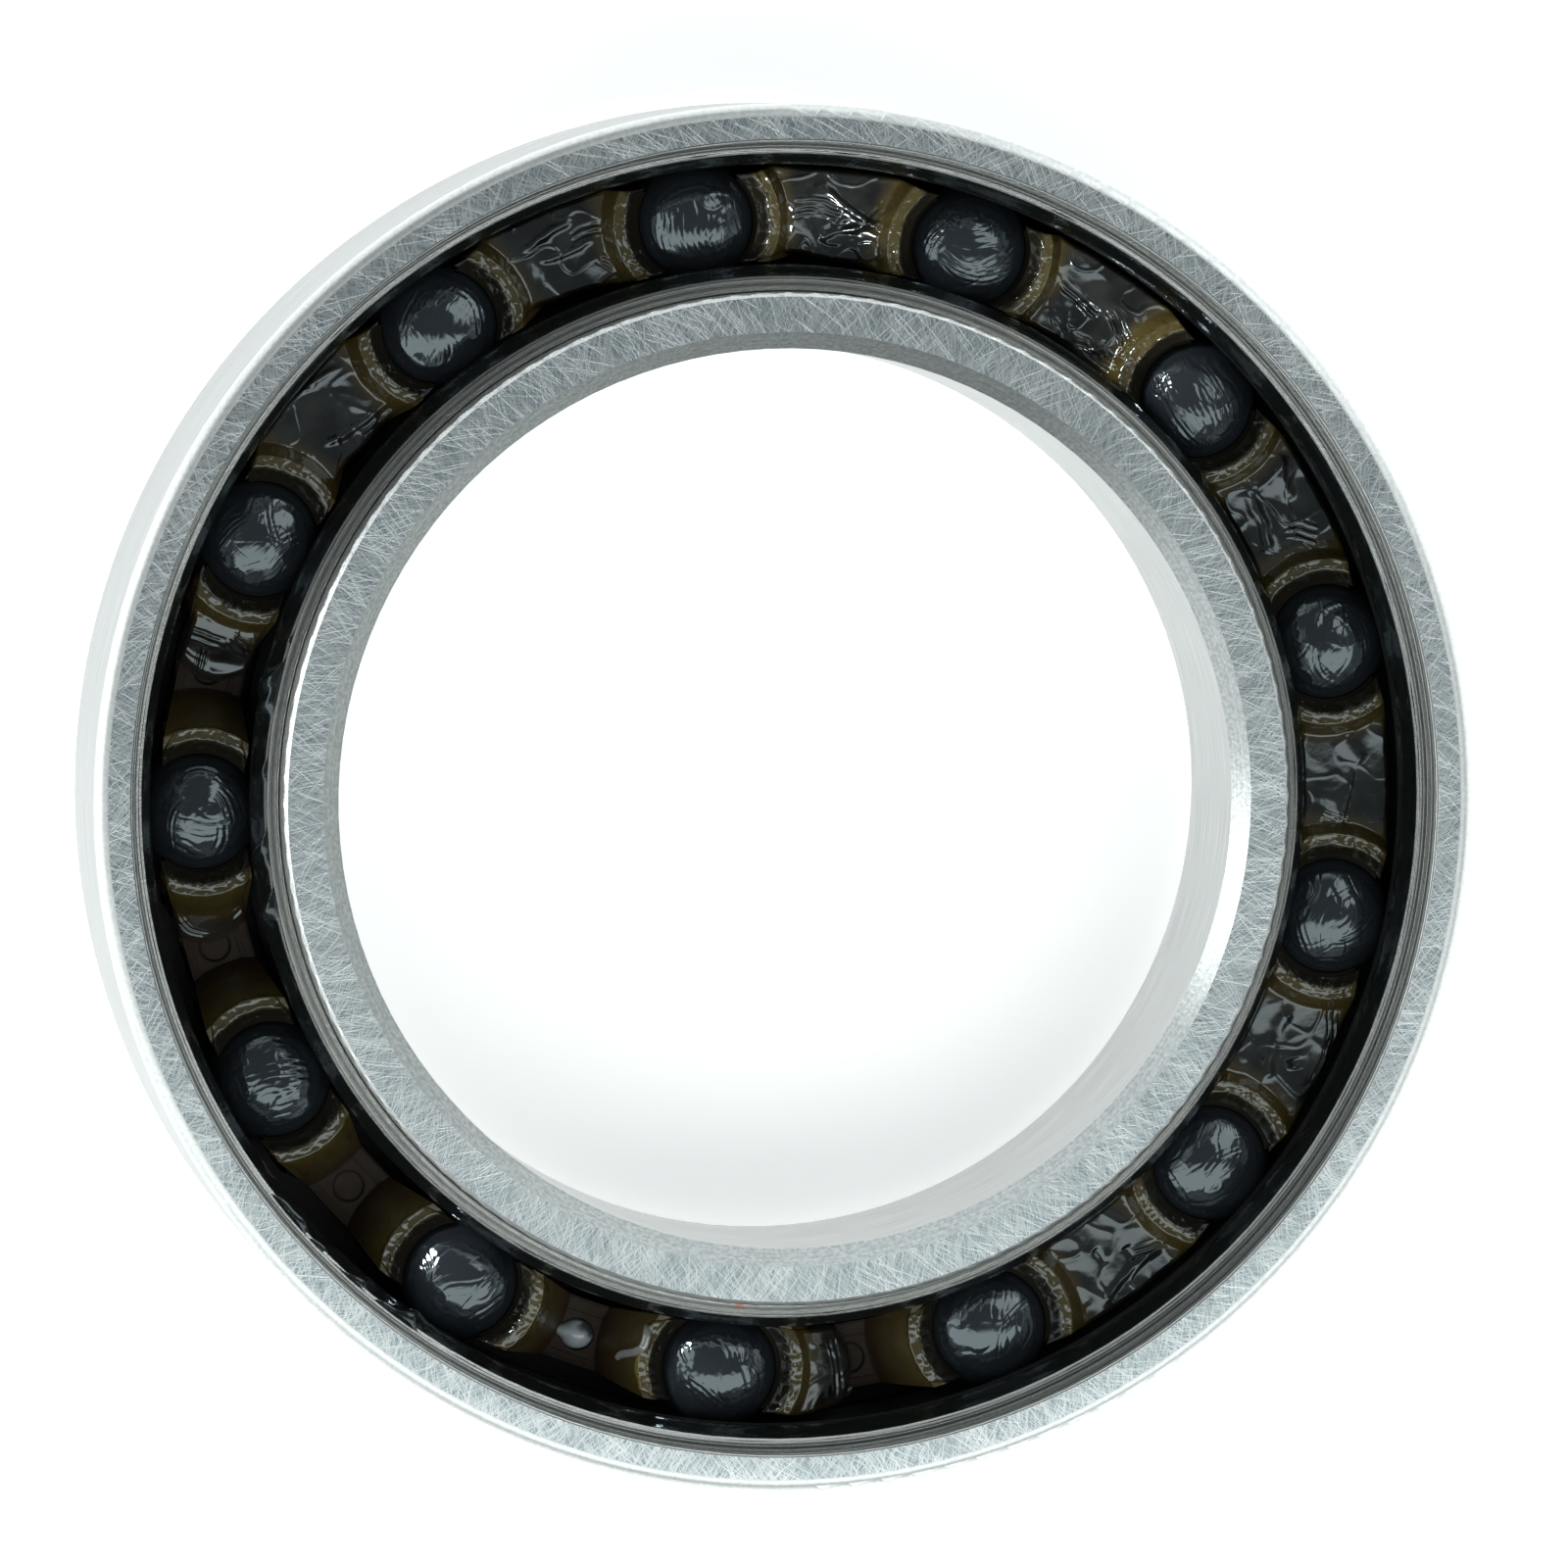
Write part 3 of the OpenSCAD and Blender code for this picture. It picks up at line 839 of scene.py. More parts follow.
# A torn patch that sparkles: how far it reaches, how fine it is and how high it stands
BURST_REACH = 0.36
BURST_FINE = 4.2
BURST_HEIGHT = 0.13
BLOCKS = [
    Block((0.8, 0.66, 0.76), (0.035, 0.035), (0.7, 0.9), (1.0, 1.0), 0.8, WHOLE, 11, [
        (-0.8, 0.6, -0.15, -1.1, 0.1, 0.17, 1, 0.083), (0.1, 1.5, 0.45, 0.35, -0.05, 0.17, 1, 0.072),
        (0.3, -0.5, 1.2, -0.65, 0.1, 0.3, 3, 0.035)]),
    Block((0.78, 0.66, 0.76), (0.035, 0.035), (1.0, 0.7), (1.0, 1.0), 1.15, WHOLE, 12, [
        (-0.75, 0.75, 0.2, -0.15, 0.0, 0.2, 2, 0.049), (0.5, 0.0, 0.95, -0.95, 0.05, 0.2, 3, 0.075),
        (-0.1, -0.9, 0.6, -1.5, 0.0, 0.26, 4, 0.06),
        (-1.1, -0.1, 0.3, -1.0, -0.1, 0.1, 1, 0.039)], (0.1, -1.15)),
    Block((0.78, 0.66, 0.74), (0.035, 0.035), (1.0, 0.1), (1.0, 1.0), 1.1, WHOLE, 13, [
        (-0.2, 0.8, 1.7, -0.6, -0.1, 0.11, 1, 0.085), (-0.4, -0.55, 1.5, -0.1, 0.05, 0.1, 1, 0.08),
        (-1.1, 0.3, 0.2, 0.1, 0.12, 0.3, 3, 0.035),
        (0.9, -0.2, 1.4, 0.4, 0.0, 0.16, 2, 0.07)], (0.25, -0.25)),
    Block((0.74, 0.58, 0.72), (0.035, 0.035), (0.9, 0.0), (1.0, 1.0), 0.8, WHOLE, 14, [
        (-1.0, 0.15, 0.3, 1.0, 0.05, 0.12, 1, 0.077), (-0.6, -0.1, 0.9, 0.55, -0.1, 0.11, 1, 0.05),
        (0.3, 0.5, 1.1, 0.8, 0.08, 0.2, 2, 0.035), (1.1, 0.1, 1.9, -0.4, 0.0, 0.27, 3, 0.035)]),
    Block((0.72, 0.6, 0.7), (0.03, 0.03), (0.4, 0.1), (1.0, 1.0), 0.75, WHOLE, 15, [
        (-1.6, 0.2, 0.2, 1.5, 0.08, 0.09, 1, 0.044), (-0.4, -0.65, 1.7, 0.9, -0.15, 0.12, 1, 0.066)]),
    Block((0.8, 0.15, 0.15), (0.03, 0.03), (0.25, 0.0), (0.25, 0.0), 0.6, 0.3, 16, [
        (-0.9, 1.2, 0.3, 0.75, 0.0, 0.2, 2, 0.042), (0.5, 0.9, 1.0, 0.5, 0.0, 0.25, 3, 0.035),
        (-0.2, 0.55, -0.35, -0.1, 0.0, 0.14, 2, 0.035)]),
    Block((0.4, -0.15, -0.2), (0.03, 0.03), (0.2, 0.0), (0.2, 0.0), 0.5, -0.1, 17, [
        (-1.1, 1.1, -0.2, 0.35, -0.25, 0.12, 2, 0.042), (0.35, 0.35, 1.1, 1.1, 0.2, 0.18, 2, 0.042)]),
    Block((-0.1, -0.3, -0.3), (0.025, 0.03), (0.0, 0.0), (0.0, 0.0), 0.3, -0.55, 18, [
        (-0.7, 0.35, 0.55, 0.85, 0.05, 0.18, 2, 0.042)]),
    Block((-0.1, -0.4, -0.4), (0.035, 0.035), (0.0, 0.0), (0.0, 0.0), 0.3, -1.0, 19, [
        (1.65, -0.3, 1.85, 0.55, 0.0, 0.09, 1, 0.028)]),
    Block((0.8, 0.15, 0.1), (0.035, 0.035), (0.3, 0.0), (1.0, 0.0), 0.7, 0.05, 20, [
        (-0.6, 0.6, -0.4, -0.9, 0.05, 0.16, 2, 0.042), (0.0, 0.9, -0.1, -0.6, 0.1, 0.16, 2, 0.049)]),
    Block((0.64, 0.71, 0.8), (0.035, 0.035), (1.0, 0.6), (0.9, 1.0), 0.9, WHOLE, 21, [
        (0.45, 0.25, 0.7, -0.1, 0.05, 0.12, 1, -0.05), (-0.35, 0.2, -0.05, -0.2, 0.0, 0.1, 1, -0.05),
        (-0.1, -1.3, 1.4, 0.2, 0.15, 0.11, 1, 0.055), (0.7, 0.1, 1.6, 0.4, 0.0, 0.16, 2, 0.042)]),
    Block((0.74, 0.62, 0.72), (0.03, 0.03), (0.7, 0.7), (1.0, 0.9), 0.6, WHOLE, 22, [
        (0.15, 1.0, -0.5, -0.9, -0.1, 0.18, 1, 0.066), (1.3, 0.9, 0.9, -0.9, 0.15, 0.16, 2, 0.056),
        (0.3, -0.35, 0.35, -0.65, 0.0, 0.16, 1, -0.077)]),
    Block((0.74, 0.64, 0.72), (0.03, 0.03), (0.7, 0.7), (0.9, 0.9), 0.5, WHOLE, 23, [
        (-0.1, 1.1, 0.5, 0.4, 0.0, 0.22, 1, 0.05), (0.25, 0.2, -0.1, -1.2, 0.05, 0.06, 1, 0.033),
        (-0.6, -1.0, 0.1, -1.3, 0.0, 0.2, 2, 0.035)]),
]
BLOCK_ROWS = 141
BLOCK_COLUMNS = 91

# Distance of a block's ends from the ball centres, half its length, its limits towards both rings, and how
# far it stays inside the cage's walls where it doesn't bulge
BLOCK_END = 1.64
BLOCK_HALF = 1.87
BLOCK_IN_R = 14.25
BLOCK_OUT_R = 16.85
BLOCK_INSET = 0.03

# Levels of the hidden underside between the balls and beside one, and the ball distance where it is low
BLOCK_UNDERSIDE = -0.8
UNDERSIDE_TOP = 0.87
UNDERSIDE_R = 2.1

# Width over which the surface rounds down at its edges, and the ball distance where the film is roughest
EDGE_ROUND = 0.16
ROUGH_R = 2.12


def cage_height(distance):
    """Height of the cage's upper surface by distance from the nearest ball centre."""
    lead_in = PRONG_TOP_Z - (PRONG_INNER_R - distance)*LEAD_IN_SLOPE
    ramp = PRONG_TOP_Z - (distance - PRONG_OUTER_R)*(PRONG_TOP_Z - FLOOR_Z)/(RAMP_FOOT_R - PRONG_OUTER_R)
    return np.maximum(np.minimum(np.minimum(lead_in, PRONG_TOP_Z), ramp), FLOOR_Z)


def between(pair, share):
    return pair[0] + (pair[1] - pair[0])*share


def cover_at(block, along, across):
    """1 where the grease lies on the cage, falling to 0 round its free front."""
    ahead = block.front - 0.35*across**2 - along
    edge = np.clip(ahead/0.3, 0, 1)
    return np.sqrt(np.clip(1 - (1 - edge)**2, 0, 1))


def block_grid(block):
    """Grid over one block: shares along and across, radius, angle from its middle and ball distance."""
    u, v = np.meshgrid(np.linspace(-1, 1, BLOCK_ROWS), np.linspace(0, 1, BLOCK_COLUMNS), indexing="ij")
    share = soft_step(u, -0.7, 0.7)
    middle = 1 - soft_step(np.abs(u), 0.5, 0.95)
    rise = 1 - middle
    wave = 0.05*noise(u*2.6, u*0 + 0.5, block.seed)
    cage_in = between(CAGE_IN_R, rise) + BLOCK_INSET
    cage_out = between(CAGE_OUT_R, rise) - BLOCK_INSET
    covered = cover_at(block, u*BLOCK_HALF, 0.0)
    grown_in = covered*(between(block.bulge_in, share)*middle + 0.6*rise)
    grown_out = covered*(between(block.bulge_out, share)*middle + 0.35*rise)
    inner = np.maximum(between((cage_in, BLOCK_IN_R), grown_in) + wave*covered*middle, BLOCK_IN_R)
    outer = np.minimum(between((cage_out, BLOCK_OUT_R), grown_out) + wave*covered*middle, BLOCK_OUT_R)
    radius = inner + (outer - inner)*v
    half = math.radians(BALL_STEP/2)
    cosine = (radius**2 + PITCH_R**2 - BLOCK_END**2)/(2*PITCH_R*radius)
    angle = u*(half - np.arccos(np.clip(cosine, -1, 1)))
    distance = np.sqrt(radius**2 + PITCH_R**2 - 2*PITCH_R*radius*np.cos(half - np.abs(angle)))
    return u, v, radius, angle, distance


def ridge_lines(distance, along, across, seed):
    """Wavy beads of film along both edges of a prong's top."""
    wobble = 0.05*noise(across*2.3, along*0.7, seed + 30)
    uneven = 0.35 + 0.9*np.abs(noise(across*2.6, along, seed + 31))
    inner = distance - PRONG_INNER_R + 0.05 - wobble
    outer = distance - PRONG_OUTER_R - 0.05 + wobble
    first = hump(inner, np.where(inner < 0, 0.15, 0.06))
    second = hump(outer, np.where(outer < 0, 0.05, 0.09))
    return uneven*(0.1*first + 0.055*second)


def block_height(block, u, v, radius, angle, distance, seen_x, seen_y):
    """Height of the grease surface over one block, and how deep it lies on the cage."""
    along = angle*PITCH_R
    cage = cage_height(distance)
    start, middle, end = block.levels
    level = start + (middle - start)*soft_step(u, -0.62, 0.0) + (end - middle)*soft_step(u, 0.0, 0.62)
    thin = between(block.films, soft_step(u, -0.3, 0.3))
    x = seen_x + 0.3*noise(seen_x*0.9, seen_y*0.9, block.seed + 1)
    y = seen_y + 0.3*noise(seen_x*0.9 + 9, seen_y*0.9, block.seed + 2)
    swell = noise(x*0.75, y*0.75, block.seed + 3)
    swell = swell + 0.35*noise(x*1.7, y*1.7, block.seed + 4)
    fold = 1 - 2*np.abs(noise(x*0.8, y*0.8, block.seed + 5))
    crease = hump(noise(x*0.95 + 5, y*0.95, block.seed + 8), 0.08)
    torn = noise(x*3.3, y*3.3, block.seed + 9)
    pool = level + block.swell*(0.06*swell + 0.03*fold + 0.026*crease + 0.006*torn)
    for index, stroke in enumerate(block.strokes):
        pool = pool + stroke_height(seen_x, seen_y, stroke, block.seed*7 + 3*index)
    if block.burst:
        patch = hump(np.hypot(seen_x - block.burst[0], seen_y - block.burst[1]), BURST_REACH)
        pool = pool + BURST_HEIGHT*patch*noise(x*BURST_FINE, y*BURST_FINE, block.seed + 10)
    # Where no pool covers it, the cage wears a thin film that is rough and beaded on the prongs
    film = thin + 0.012*noise(x*2.2, y*2.2, block.seed + 6)
    film = film + 0.022*hump(distance - ROUGH_R, 0.2)*noise(x*5.5, y*5.5, block.seed + 12)
    film = film + ridge_lines(distance, along, radius - PITCH_R, block.seed)
    depth = soft_max(pool, cage + film, 0.1) - cage
    covered = cover_at(block, along, 2*v - 1)
    depth = depth*covered - MARK_DEPTH*(1 - covered)
    reach = PRONG_OUTER_R + 0.12 + 0.05*noise(radius*2, along*0, block.seed + 7)
    on_ridge = np.sqrt(np.clip((reach - distance)/0.1, 0, 1))
    depth = np.maximum(depth, film*on_ridge - MARK_DEPTH*(1 - on_ridge))
    # Both long edges round down, and the deeper the grease the further
    edge = np.minimum(v, 1 - v)*(radius.max() - radius.min())
    near = np.clip(1 - edge/EDGE_ROUND, 0, 1)
    fall = 1 - np.sqrt(np.clip(1 - near**2, 0, 1))
    depth = depth - fall*(0.04 + 0.3*soft_step(depth, 0.0, 0.5))
    return cage + depth, depth


def block_grease(index, material):
    """The grease on one block, down to a narrower underside that is hidden in the cage."""
    block = BLOCKS[index]
    u, v, radius, angle, distance = block_grid(block)
    middle = math.radians(BALL_PHASE + (index + 0.5)*BALL_STEP)
    middle_x, middle_y = pitch_point(index + 0.5)
    turn = middle + angle
    seen_x = radius*np.cos(turn) - middle_x
    seen_y = radius*np.sin(turn) - middle_y
    height, depth = block_height(block, u, v, radius, angle, distance, seen_x, seen_y)
    top = np.stack([radius*np.cos(turn), radius*np.sin(turn), height], -1).reshape(-1, 3)
    clear = 1 - soft_step(distance, BALL_R, UNDERSIDE_R).ravel()
    skirt = top.copy()
    skirt[:, 2] = np.minimum(between((BLOCK_UNDERSIDE, UNDERSIDE_TOP), clear), top[:, 2] - 0.04)
    floor = top.copy()
    narrow = angle*(math.radians(BALL_STEP/2) - UNDERSIDE_R/PITCH_R)/np.abs(angle).max()
    floor[:, 0] = (radius*np.cos(middle + narrow)).ravel()
    floor[:, 1] = (radius*np.sin(middle + narrow)).ravel()
    floor[:, 2] = BLOCK_UNDERSIDE - 0.1
    obj = closed_patch(numbered("grease_block", index), top, BLOCK_ROWS, BLOCK_COLUMNS, skirt, floor)
    # This grid runs clockwise, so its faces are turned to look outward
    obj.data.flip_normals()
    add_values(obj, "depth", (np.clip(depth, 0, 2)*(1 - 0.6*(2*v - 1)**4)).ravel())
    return carry(obj, "cage", material)


# Grease smeared over the shoulders of the rings

SHOULDER_ROWS = 1080

# Points down the shoulder, as (distance from its edge towards the seat, height)
SHOULDER_PATH = [(0.36, SEAT_Z), (0.28, 2.38), (0.27, 2.22), (0.18, 2.08), (0.09, 1.94), (0.0, 1.8),
                 (0.0, 1.6)]

# Angles between which beads stand on the films, the angle over which they fade out, and their height
OUTER_BEADS = (214.0, 238.0)
INNER_BEADS = (160.0, 202.0)
BEAD_FADE = 4.0
BEAD_HEIGHT = 0.26


def shoulder_film(name, body, edge, side, beads, seed, material):
    """A wavy film along a ring's shoulder. The side is -1 on the outer ring, where it faces the axis."""
    turn = full_turn(SHOULDER_ROWS)[:, None]
    off, height = np.array(SHOULDER_PATH).T[:, None, :]
    radius = edge - side*off
    step = np.linspace(0, 1, len(SHOULDER_PATH))[None, :]
    x, y = np.cos(turn)*6, np.sin(turn)*6
    wave = noise(x*1.6 + step*1.2, y*1.6, seed)
    wave = wave + 0.6*noise(x*4.5, y*4.5 + step*2, seed + 1)
    degrees = np.degrees(turn)
    here = soft_step(degrees, beads[0], beads[0] + BEAD_FADE)
    here = here*(1 - soft_step(degrees, beads[1] - BEAD_FADE, beads[1]))
    bead = here*np.clip(1.6*noise(x*3.5, y*3.5 + step, seed + 2), 0, 1)
    ends = np.sin(math.pi*np.clip(step, 0.04, 0.96))
    thick = np.clip(0.022 + 0.016*wave, 0.004, 0.05)*ends + BEAD_HEIGHT*bead*ends
    if side < 0:
        # The lowest edge of the outer film stays thin, clear of the cage
        thick = np.where(height < 1.7, np.minimum(thick, 0.02), thick)
    outward = radius + side*thick
    lifted = height + 0.7*thick
    inner = radius - side*0.06
    ring_r = np.concatenate([outward + 0*turn, inner[:, ::-1] + 0*turn], 1)
    ring_z = np.concatenate([lifted + 0*turn, height[:, ::-1] - 0.03 + 0*turn], 1)
    points = np.stack([ring_r*np.cos(turn), ring_r*np.sin(turn), ring_z], -1).reshape(-1, 3)
    columns = ring_r.shape[1]
    index = np.arange(SHOULDER_ROWS*columns).reshape(SHOULDER_ROWS, columns)
    after, beside = np.roll(index, -1, 0), np.roll(index, -1, 1)
    quads = np.stack([index, after, np.roll(after, -1, 1), beside], -1).reshape(-1, 4)
    if side > 0:
        quads = quads[:, ::-1]
    return carry(add_mesh(name, points, quads.tolist()), body, material)


# A drop of grease on the pin mark of one floor, and a curl on the ramp beside it

DROP_BLOCK = 9
DROP_PLACE = (-0.03, 0.03)
DROP_SIZE = (0.45, 0.42)
DROP_HEIGHT = 0.42

# How deep the drop sits in the mark, the angle of its tail, and the place of a dent from its middle
DROP_SUNK = 0.14
DROP_TAIL = 163.0
DROP_DENT = (0.06, 0.24)

DROP_RINGS = 24
DROP_POINTS = 64

# Places along the curl, from the middle of its block
CURL = [(0.95, -0.62), (0.98, -0.49), (1.1, -0.41), (1.3, -0.35), (1.47, -0.25), (1.58, -0.11),
        (1.63, 0.07), (1.66, 0.26), (1.68, 0.44)]

# Radius of the curl's bead, and how far its middle stands above the ramp and how tall it is, in radii
CURL_R = 0.115
CURL_LIFT = 0.95
CURL_TALL = 0.8
CURL_STEPS = 48
CURL_SIDES = 16


def grease_drop():
    """A low dome with a small tail."""
    block_x, block_y = pitch_point(DROP_BLOCK - 0.5)
    middle = (block_x + DROP_PLACE[0], block_y + DROP_PLACE[1])
    turn = full_turn(DROP_POINTS)
    rows = []
    for ring in range(1, DROP_RINGS + 1):
        share = ring/DROP_RINGS
        tail = 1 + 0.6*hump(turn - math.radians(DROP_TAIL), 0.3)*share**2
        x = DROP_PLACE[0] + DROP_SIZE[0]*share*np.cos(turn)*tail
        y = DROP_PLACE[1] + DROP_SIZE[1]*share*np.sin(turn)*tail
        off = (x - DROP_PLACE[0] - DROP_DENT[0])**2 + (y - DROP_PLACE[1] - DROP_DENT[1])**2
        dent = 0.08*np.exp(-off/0.012)
        z = FLOOR_Z - DROP_SUNK + DROP_HEIGHT*np.sqrt(1 - share**2 + 1e-9) - dent
        rows.append(np.stack([block_x + x, block_y + y, z], -1))
    ends = [[*middle, FLOOR_Z - DROP_SUNK + DROP_HEIGHT], [*middle, FLOOR_Z - MARK_DEPTH]]
    points = np.concatenate([ends, *rows])
    faces = []
    for k in range(DROP_POINTS):
        after = (k + 1) % DROP_POINTS
        faces.append([0, 2 + k, 2 + after])
        for ring in range(DROP_RINGS - 1):
            a = 2 + ring*DROP_POINTS
            faces.append([a + k, a + DROP_POINTS + k, a + DROP_POINTS + after, a + after])
        last = 2 + (DROP_RINGS - 1)*DROP_POINTS
        faces.append([1, last + after, last + k])
    return carry(add_mesh("grease_drop", points, faces), "cage", milky_grease(middle))


def grease_curl():
    """A bead of grease with a hooked end, lying on the ramp of the block with the drop."""
    marks = np.array(CURL)
    share = np.linspace(0, len(marks) - 1, CURL_STEPS)
    path = np.stack([np.interp(share, np.arange(len(marks)), marks[:, k]) for k in (0, 1)], -1)
    for _ in range(3):
        path[1:-1] = 0.25*path[:-2] + 0.5*path[1:-1] + 0.25*path[2:]
    place = path + pitch_point(DROP_BLOCK - 0.5)
    height = cage_height(np.hypot(*(place - pitch_point(DROP_BLOCK)).T))
    run = np.gradient(path, axis=0)
    run /= np.linalg.norm(run, axis=1, keepdims=True)
    side = np.stack([-run[:, 1], run[:, 0]], -1)
    thick = CURL_R*np.sqrt(np.clip(1 - np.abs(np.linspace(-1, 1, CURL_STEPS))**6, 0.02, 1))
    around = full_turn(CURL_SIDES)
    flat = place[:, None, :] + side[:, None, :]*(thick[:, None]*np.cos(around)[None, :])[..., None]
    level = height[:, None] + thick[:, None]*(CURL_LIFT + CURL_TALL*np.sin(around)[None, :])
    points = np.concatenate([flat, level[..., None]], -1).reshape(-1, 3)
    ends = np.array([[*place[k], height[k] + CURL_LIFT*thick[k]] for k in (0, -1)])
    index = np.arange(CURL_STEPS*CURL_SIDES).reshape(CURL_STEPS, CURL_SIDES)
    beside = np.roll(index, -1, 1)
    quads = np.stack([index[:-1], beside[:-1], beside[1:], index[1:]], -1).reshape(-1, 4)
    tip = len(points)
    faces = quads.tolist() + fan(beside[0], index[0], tip) + fan(index[-1], beside[-1], tip + 1)
    return carry(add_mesh("grease_curl", np.concatenate([points, ends]), faces), "cage", bead_grease())


# Camera, lights and floor

def camera_axes():
    """A matrix whose columns are the camera's axes in the bearing's frame.

    Its rows are the bearing's X, Y and Z as the camera sees them.
    """
    tilt, lean = math.radians(CAMERA_TILT), math.radians(CAMERA_LEAN)
    z = Vector((math.sin(tilt)*math.cos(lean), math.sin(tilt)*math.sin(lean), math.cos(tilt)))
    x = (Vector((1, 0, 0)) - z*z.x).normalized()
    return Matrix([x, z.cross(x), z])


def from_camera(polar, around):
    """Direction at one angle from the viewing line and another round it, from the right."""
    p, a = math.radians(polar), math.radians(around)
    seen = Vector((math.sin(p)*math.cos(a), math.sin(p)*math.sin(a), math.cos(p)))
    return camera_axes() @ seen


def face_camera(obj, target, offset):
    """Puts an object at an offset along the camera's own axes from a target, turned as the camera is."""
    axes = camera_axes()
    obj.matrix_world = Matrix.Translation(target + axes @ Vector(offset)) @ axes.to_4x4()


def make_camera():
    data = bpy.data.cameras.new("camera")
    data.lens = CAMERA_LENS
    data.sensor_width = CAMERA_SENSOR
    data.sensor_fit = "HORIZONTAL"
    data.shift_x, data.shift_y = CAMERA_SHIFT
    data.clip_start, data.clip_end = 0.01, 10.0
    obj = add_object("camera", data)
    face_camera(obj, Vector((0, 0, HALF_WIDTH*MM)), (0, 0, CAMERA_DISTANCE*MM))
    bpy.context.scene.camera = obj


def add_lamp(name, kind, power):
    data = bpy.data.lights.new(name, kind)
    data.energy = power
    obj = add_object(name, data)
    obj.visible_camera = False
    return obj


def rectangle_lamp(name, width, height, brightness):
    """A flat lamp with the same brightness whatever its size."""
    obj = add_lamp(name, "AREA", brightness*math.pi*width*height)
    obj.data.shape = "RECTANGLE"
    obj.data.size, obj.data.size_y = width, height
    obj.data.color = LIGHT_COLOUR
    return obj


def softbox(name, polar, around, width, height, brightness, distance):
    """A rectangular lamp that looks at the bearing. Width and height are angles in degrees."""
    wide, high = (2*distance*math.tan(math.radians(angle/2)) for angle in (width, height))
    obj = rectangle_lamp(name, wide, high, brightness)
    direction = from_camera(polar, around)
    obj.location = direction*distance
    obj.rotation_euler = direction.to_track_quat("Z", "Y").to_euler()


def soften_near_edge(data, share):
    """Lets a lamp's light fade over a share of its length, at the edge nearest the viewing line."""
    data.use_nodes = True
    nodes = Nodes(data.node_tree)
    along = nodes.split(nodes.value("ShaderNodeNewGeometry", output="Parametric"))[1]
    nodes.set(data.node_tree.nodes["Emission"], Strength=along.ramp(1.0, 1.0 - share))


def strip_light(name, near, far, half_width, brightness, height):
    """A long lamp below the picture's middle, between two angles from the viewing line."""
    low, high = (height*math.tan(math.radians(angle)) for angle in (near, far))
    obj = rectangle_lamp(name, 2*height*half_width, high - low, brightness)
    soften_near_edge(obj.data, share=0.18)
    face_camera(obj, Vector((0, 0, 0)), (0, -(low + high)/2, height))


def spark_light(name, polar, around, power, pieces):
    """A small hard lamp that lights only a few pieces of grease."""
    obj = add_lamp(name, "POINT", power)
    obj.data.shadow_soft_size = SPARK_SIZE
    obj.location = from_camera(polar, around)*SPARK_DISTANCE
    lit = bpy.data.collections.new(name + "_lit")
    for piece in pieces:
        lit.objects.link(bpy.data.objects[piece])
    obj.light_linking.receiver_collection = lit


def studio_world():
    """Dim above, pale round the horizon and dark below the picture. Seen directly, it is white."""
    world = bpy.data.worlds.new("studio")
    bpy.context.scene.world = world
    world.use_nodes = True
    nodes = Nodes(world.node_tree)
    seen = nodes.value("ShaderNodeLightPath", output="Is Camera Ray")
    y, z = nodes.split(nodes.value("ShaderNodeTexCoord"))[1:]
    horizon = y.ramp(-0.95, -0.6, 0.3, 1.0)*y.ramp(-0.3, 1.0, 0.95, 1.3)
    glow = z.ramp(0.15, 0.5, horizon, 0.18)
    strength = nodes.fill(nodes.add("ShaderNodeMix"), 0, {0: seen, 2: glow, 3: 1.0})
    colour = nodes.mix(seen, WORLD_COLOUR, WHITE)
    nodes.set(world.node_tree.nodes["Background"], Color=colour, Strength=strength)


def make_lights():
    strip_light("light_below", near=13, far=56, half_width=2.0, brightness=2.03, height=0.16)
    softbox("light_left", 62, 172, width=28, height=46, brightness=1.9, distance=0.14)
    softbox("light_right", 55, 38, width=36, height=40, brightness=1.9, distance=0.14)
    caps = [numbered("ball", index) + "_film" for index in SPARK_PIECES]
    blocks = [numbered("grease_block", index) for index in SPARK_PIECES]
    spark_light("spark_along", 64, 146, 5.0, caps + blocks)
    spark_light("spark_above", 32, 236, 3.6, blocks[:2])
    studio_world()


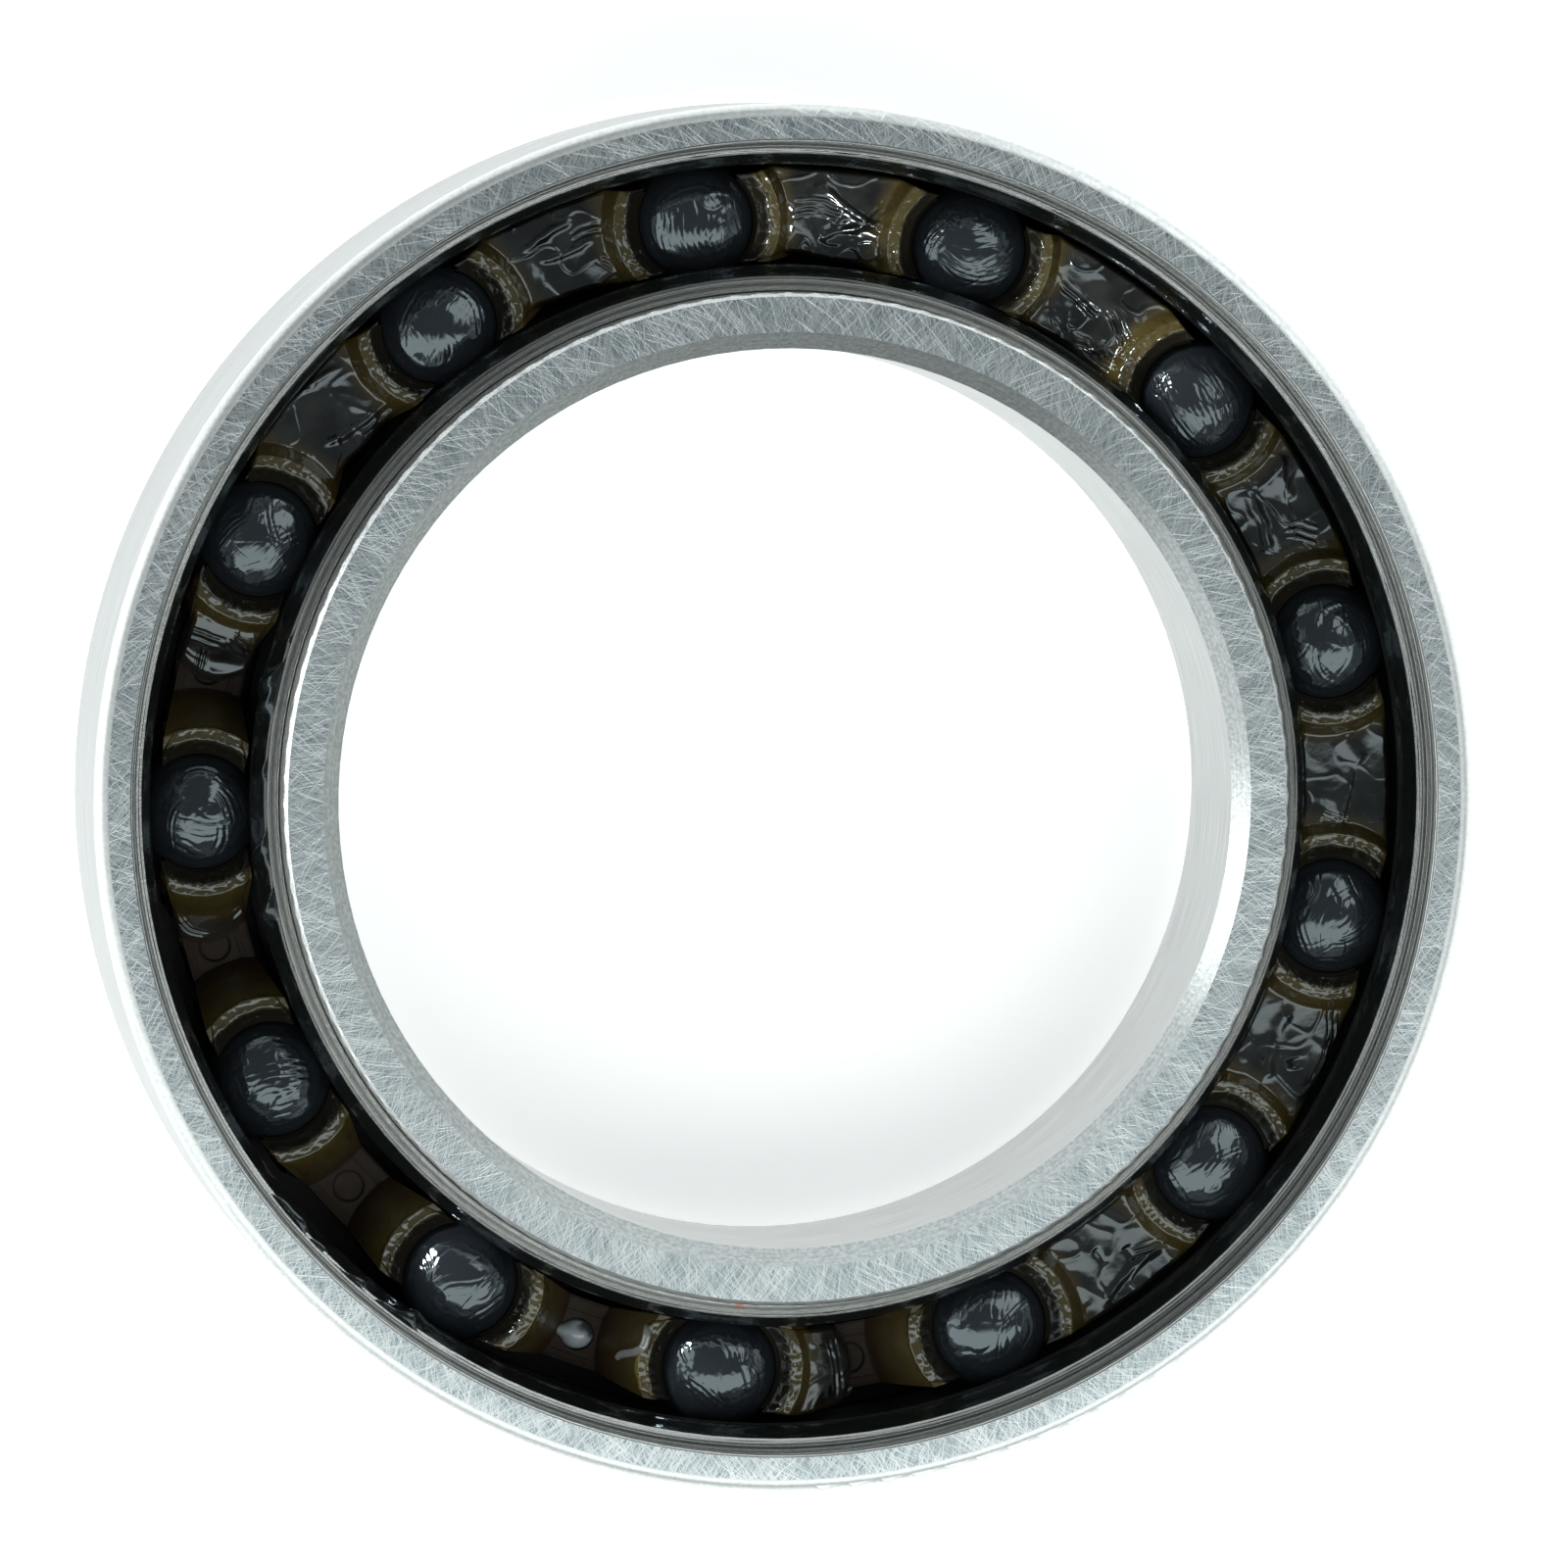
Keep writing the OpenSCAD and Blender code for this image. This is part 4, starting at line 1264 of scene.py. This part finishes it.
def make_floor():
    """A pale floor that keeps the bearing's shadow and brightens to the white backdrop away from it."""
    mesh = bpy.data.meshes.new("floor")
    low = -HALF_WIDTH*MM
    corners = [(-FLOOR_HALF, -FLOOR_HALF), (FLOOR_HALF, -FLOOR_HALF), (FLOOR_HALF, FLOOR_HALF),
               (-FLOOR_HALF, FLOOR_HALF)]
    mesh.from_pydata([(x, y, low) for x, y in corners], [], [(0, 1, 2, 3)])
    floor = add_object("floor", mesh)
    shader = Shader("floor")
    direct = shader.value("ShaderNodeLightPath", output="Is Camera Ray")
    direct = direct*shader.place().radius.ramp(*FLOOR_FADE, *FLOOR_GLOW)
    reflected = shader.value("ShaderNodeLightPath", output="Is Glossy Ray")*FLOOR_REFLECTED
    paint(floor, shader.surface(Base_Color=(0.93, 0.94, 0.94), Roughness=0.9, Specular_IOR_Level=0.1,
                                Emission_Color=WHITE, Emission_Strength=direct + reflected))


def paint_rings(nodes):
    ground, wall, shoulder, edge = ground_steel(), wall_steel(), shoulder_steel(), edge_steel()
    inner_seat = seat_steel("inner_seat", INNER_FACE_R, (0.26, 0.272, 0.264), (0.98, 0.995, 0.98),
                            (0.56, 0.575, 0.56), SPECK_PLACE)
    outer_seat = seat_steel("outer_seat", OUTER_SEAT_R, (0.24, 0.255, 0.25), (0.95, 0.98, 0.96),
                            (0.44, 0.46, 0.45))
    finish_ring(nodes["inner_ring"], [ground, wall, inner_seat, shoulder, edge])
    finish_ring(nodes["outer_ring"], [ground, wall, outer_seat, shoulder, edge])


def main():
    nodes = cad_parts
    paint_rings(nodes)
    ceramic = black_ceramic()
    for index in range(BALL_COUNT):
        paint(nodes[numbered("ball", index)], ceramic)
    paint(nodes["cage"], cage_amber())
    paint(nodes["rear_seal"], seal_rubber())
    paint(nodes["rear_seal_insert"], insert_steel())
    for name, node in nodes.items():
        smooth_corners(node, name in TURNED)
    film = film_material()
    grease = grease_material()
    for index in range(BALL_COUNT):
        ball_film(index, film)
        block_grease(index, grease)
    smeared = shoulder_grease()
    shoulder_film("outer_shoulder_film", "outer_assembly", OUTER_SHOULDER_R, -1, OUTER_BEADS, 61, smeared)
    shoulder_film("inner_shoulder_film", "inner_ring", INNER_SHOULDER_R, 1, INNER_BEADS, 71, smeared)
    grease_drop()
    grease_curl()
    make_camera()
    make_lights()
    make_floor()
    bpy.context.scene.view_settings.view_transform = "Standard"


main()
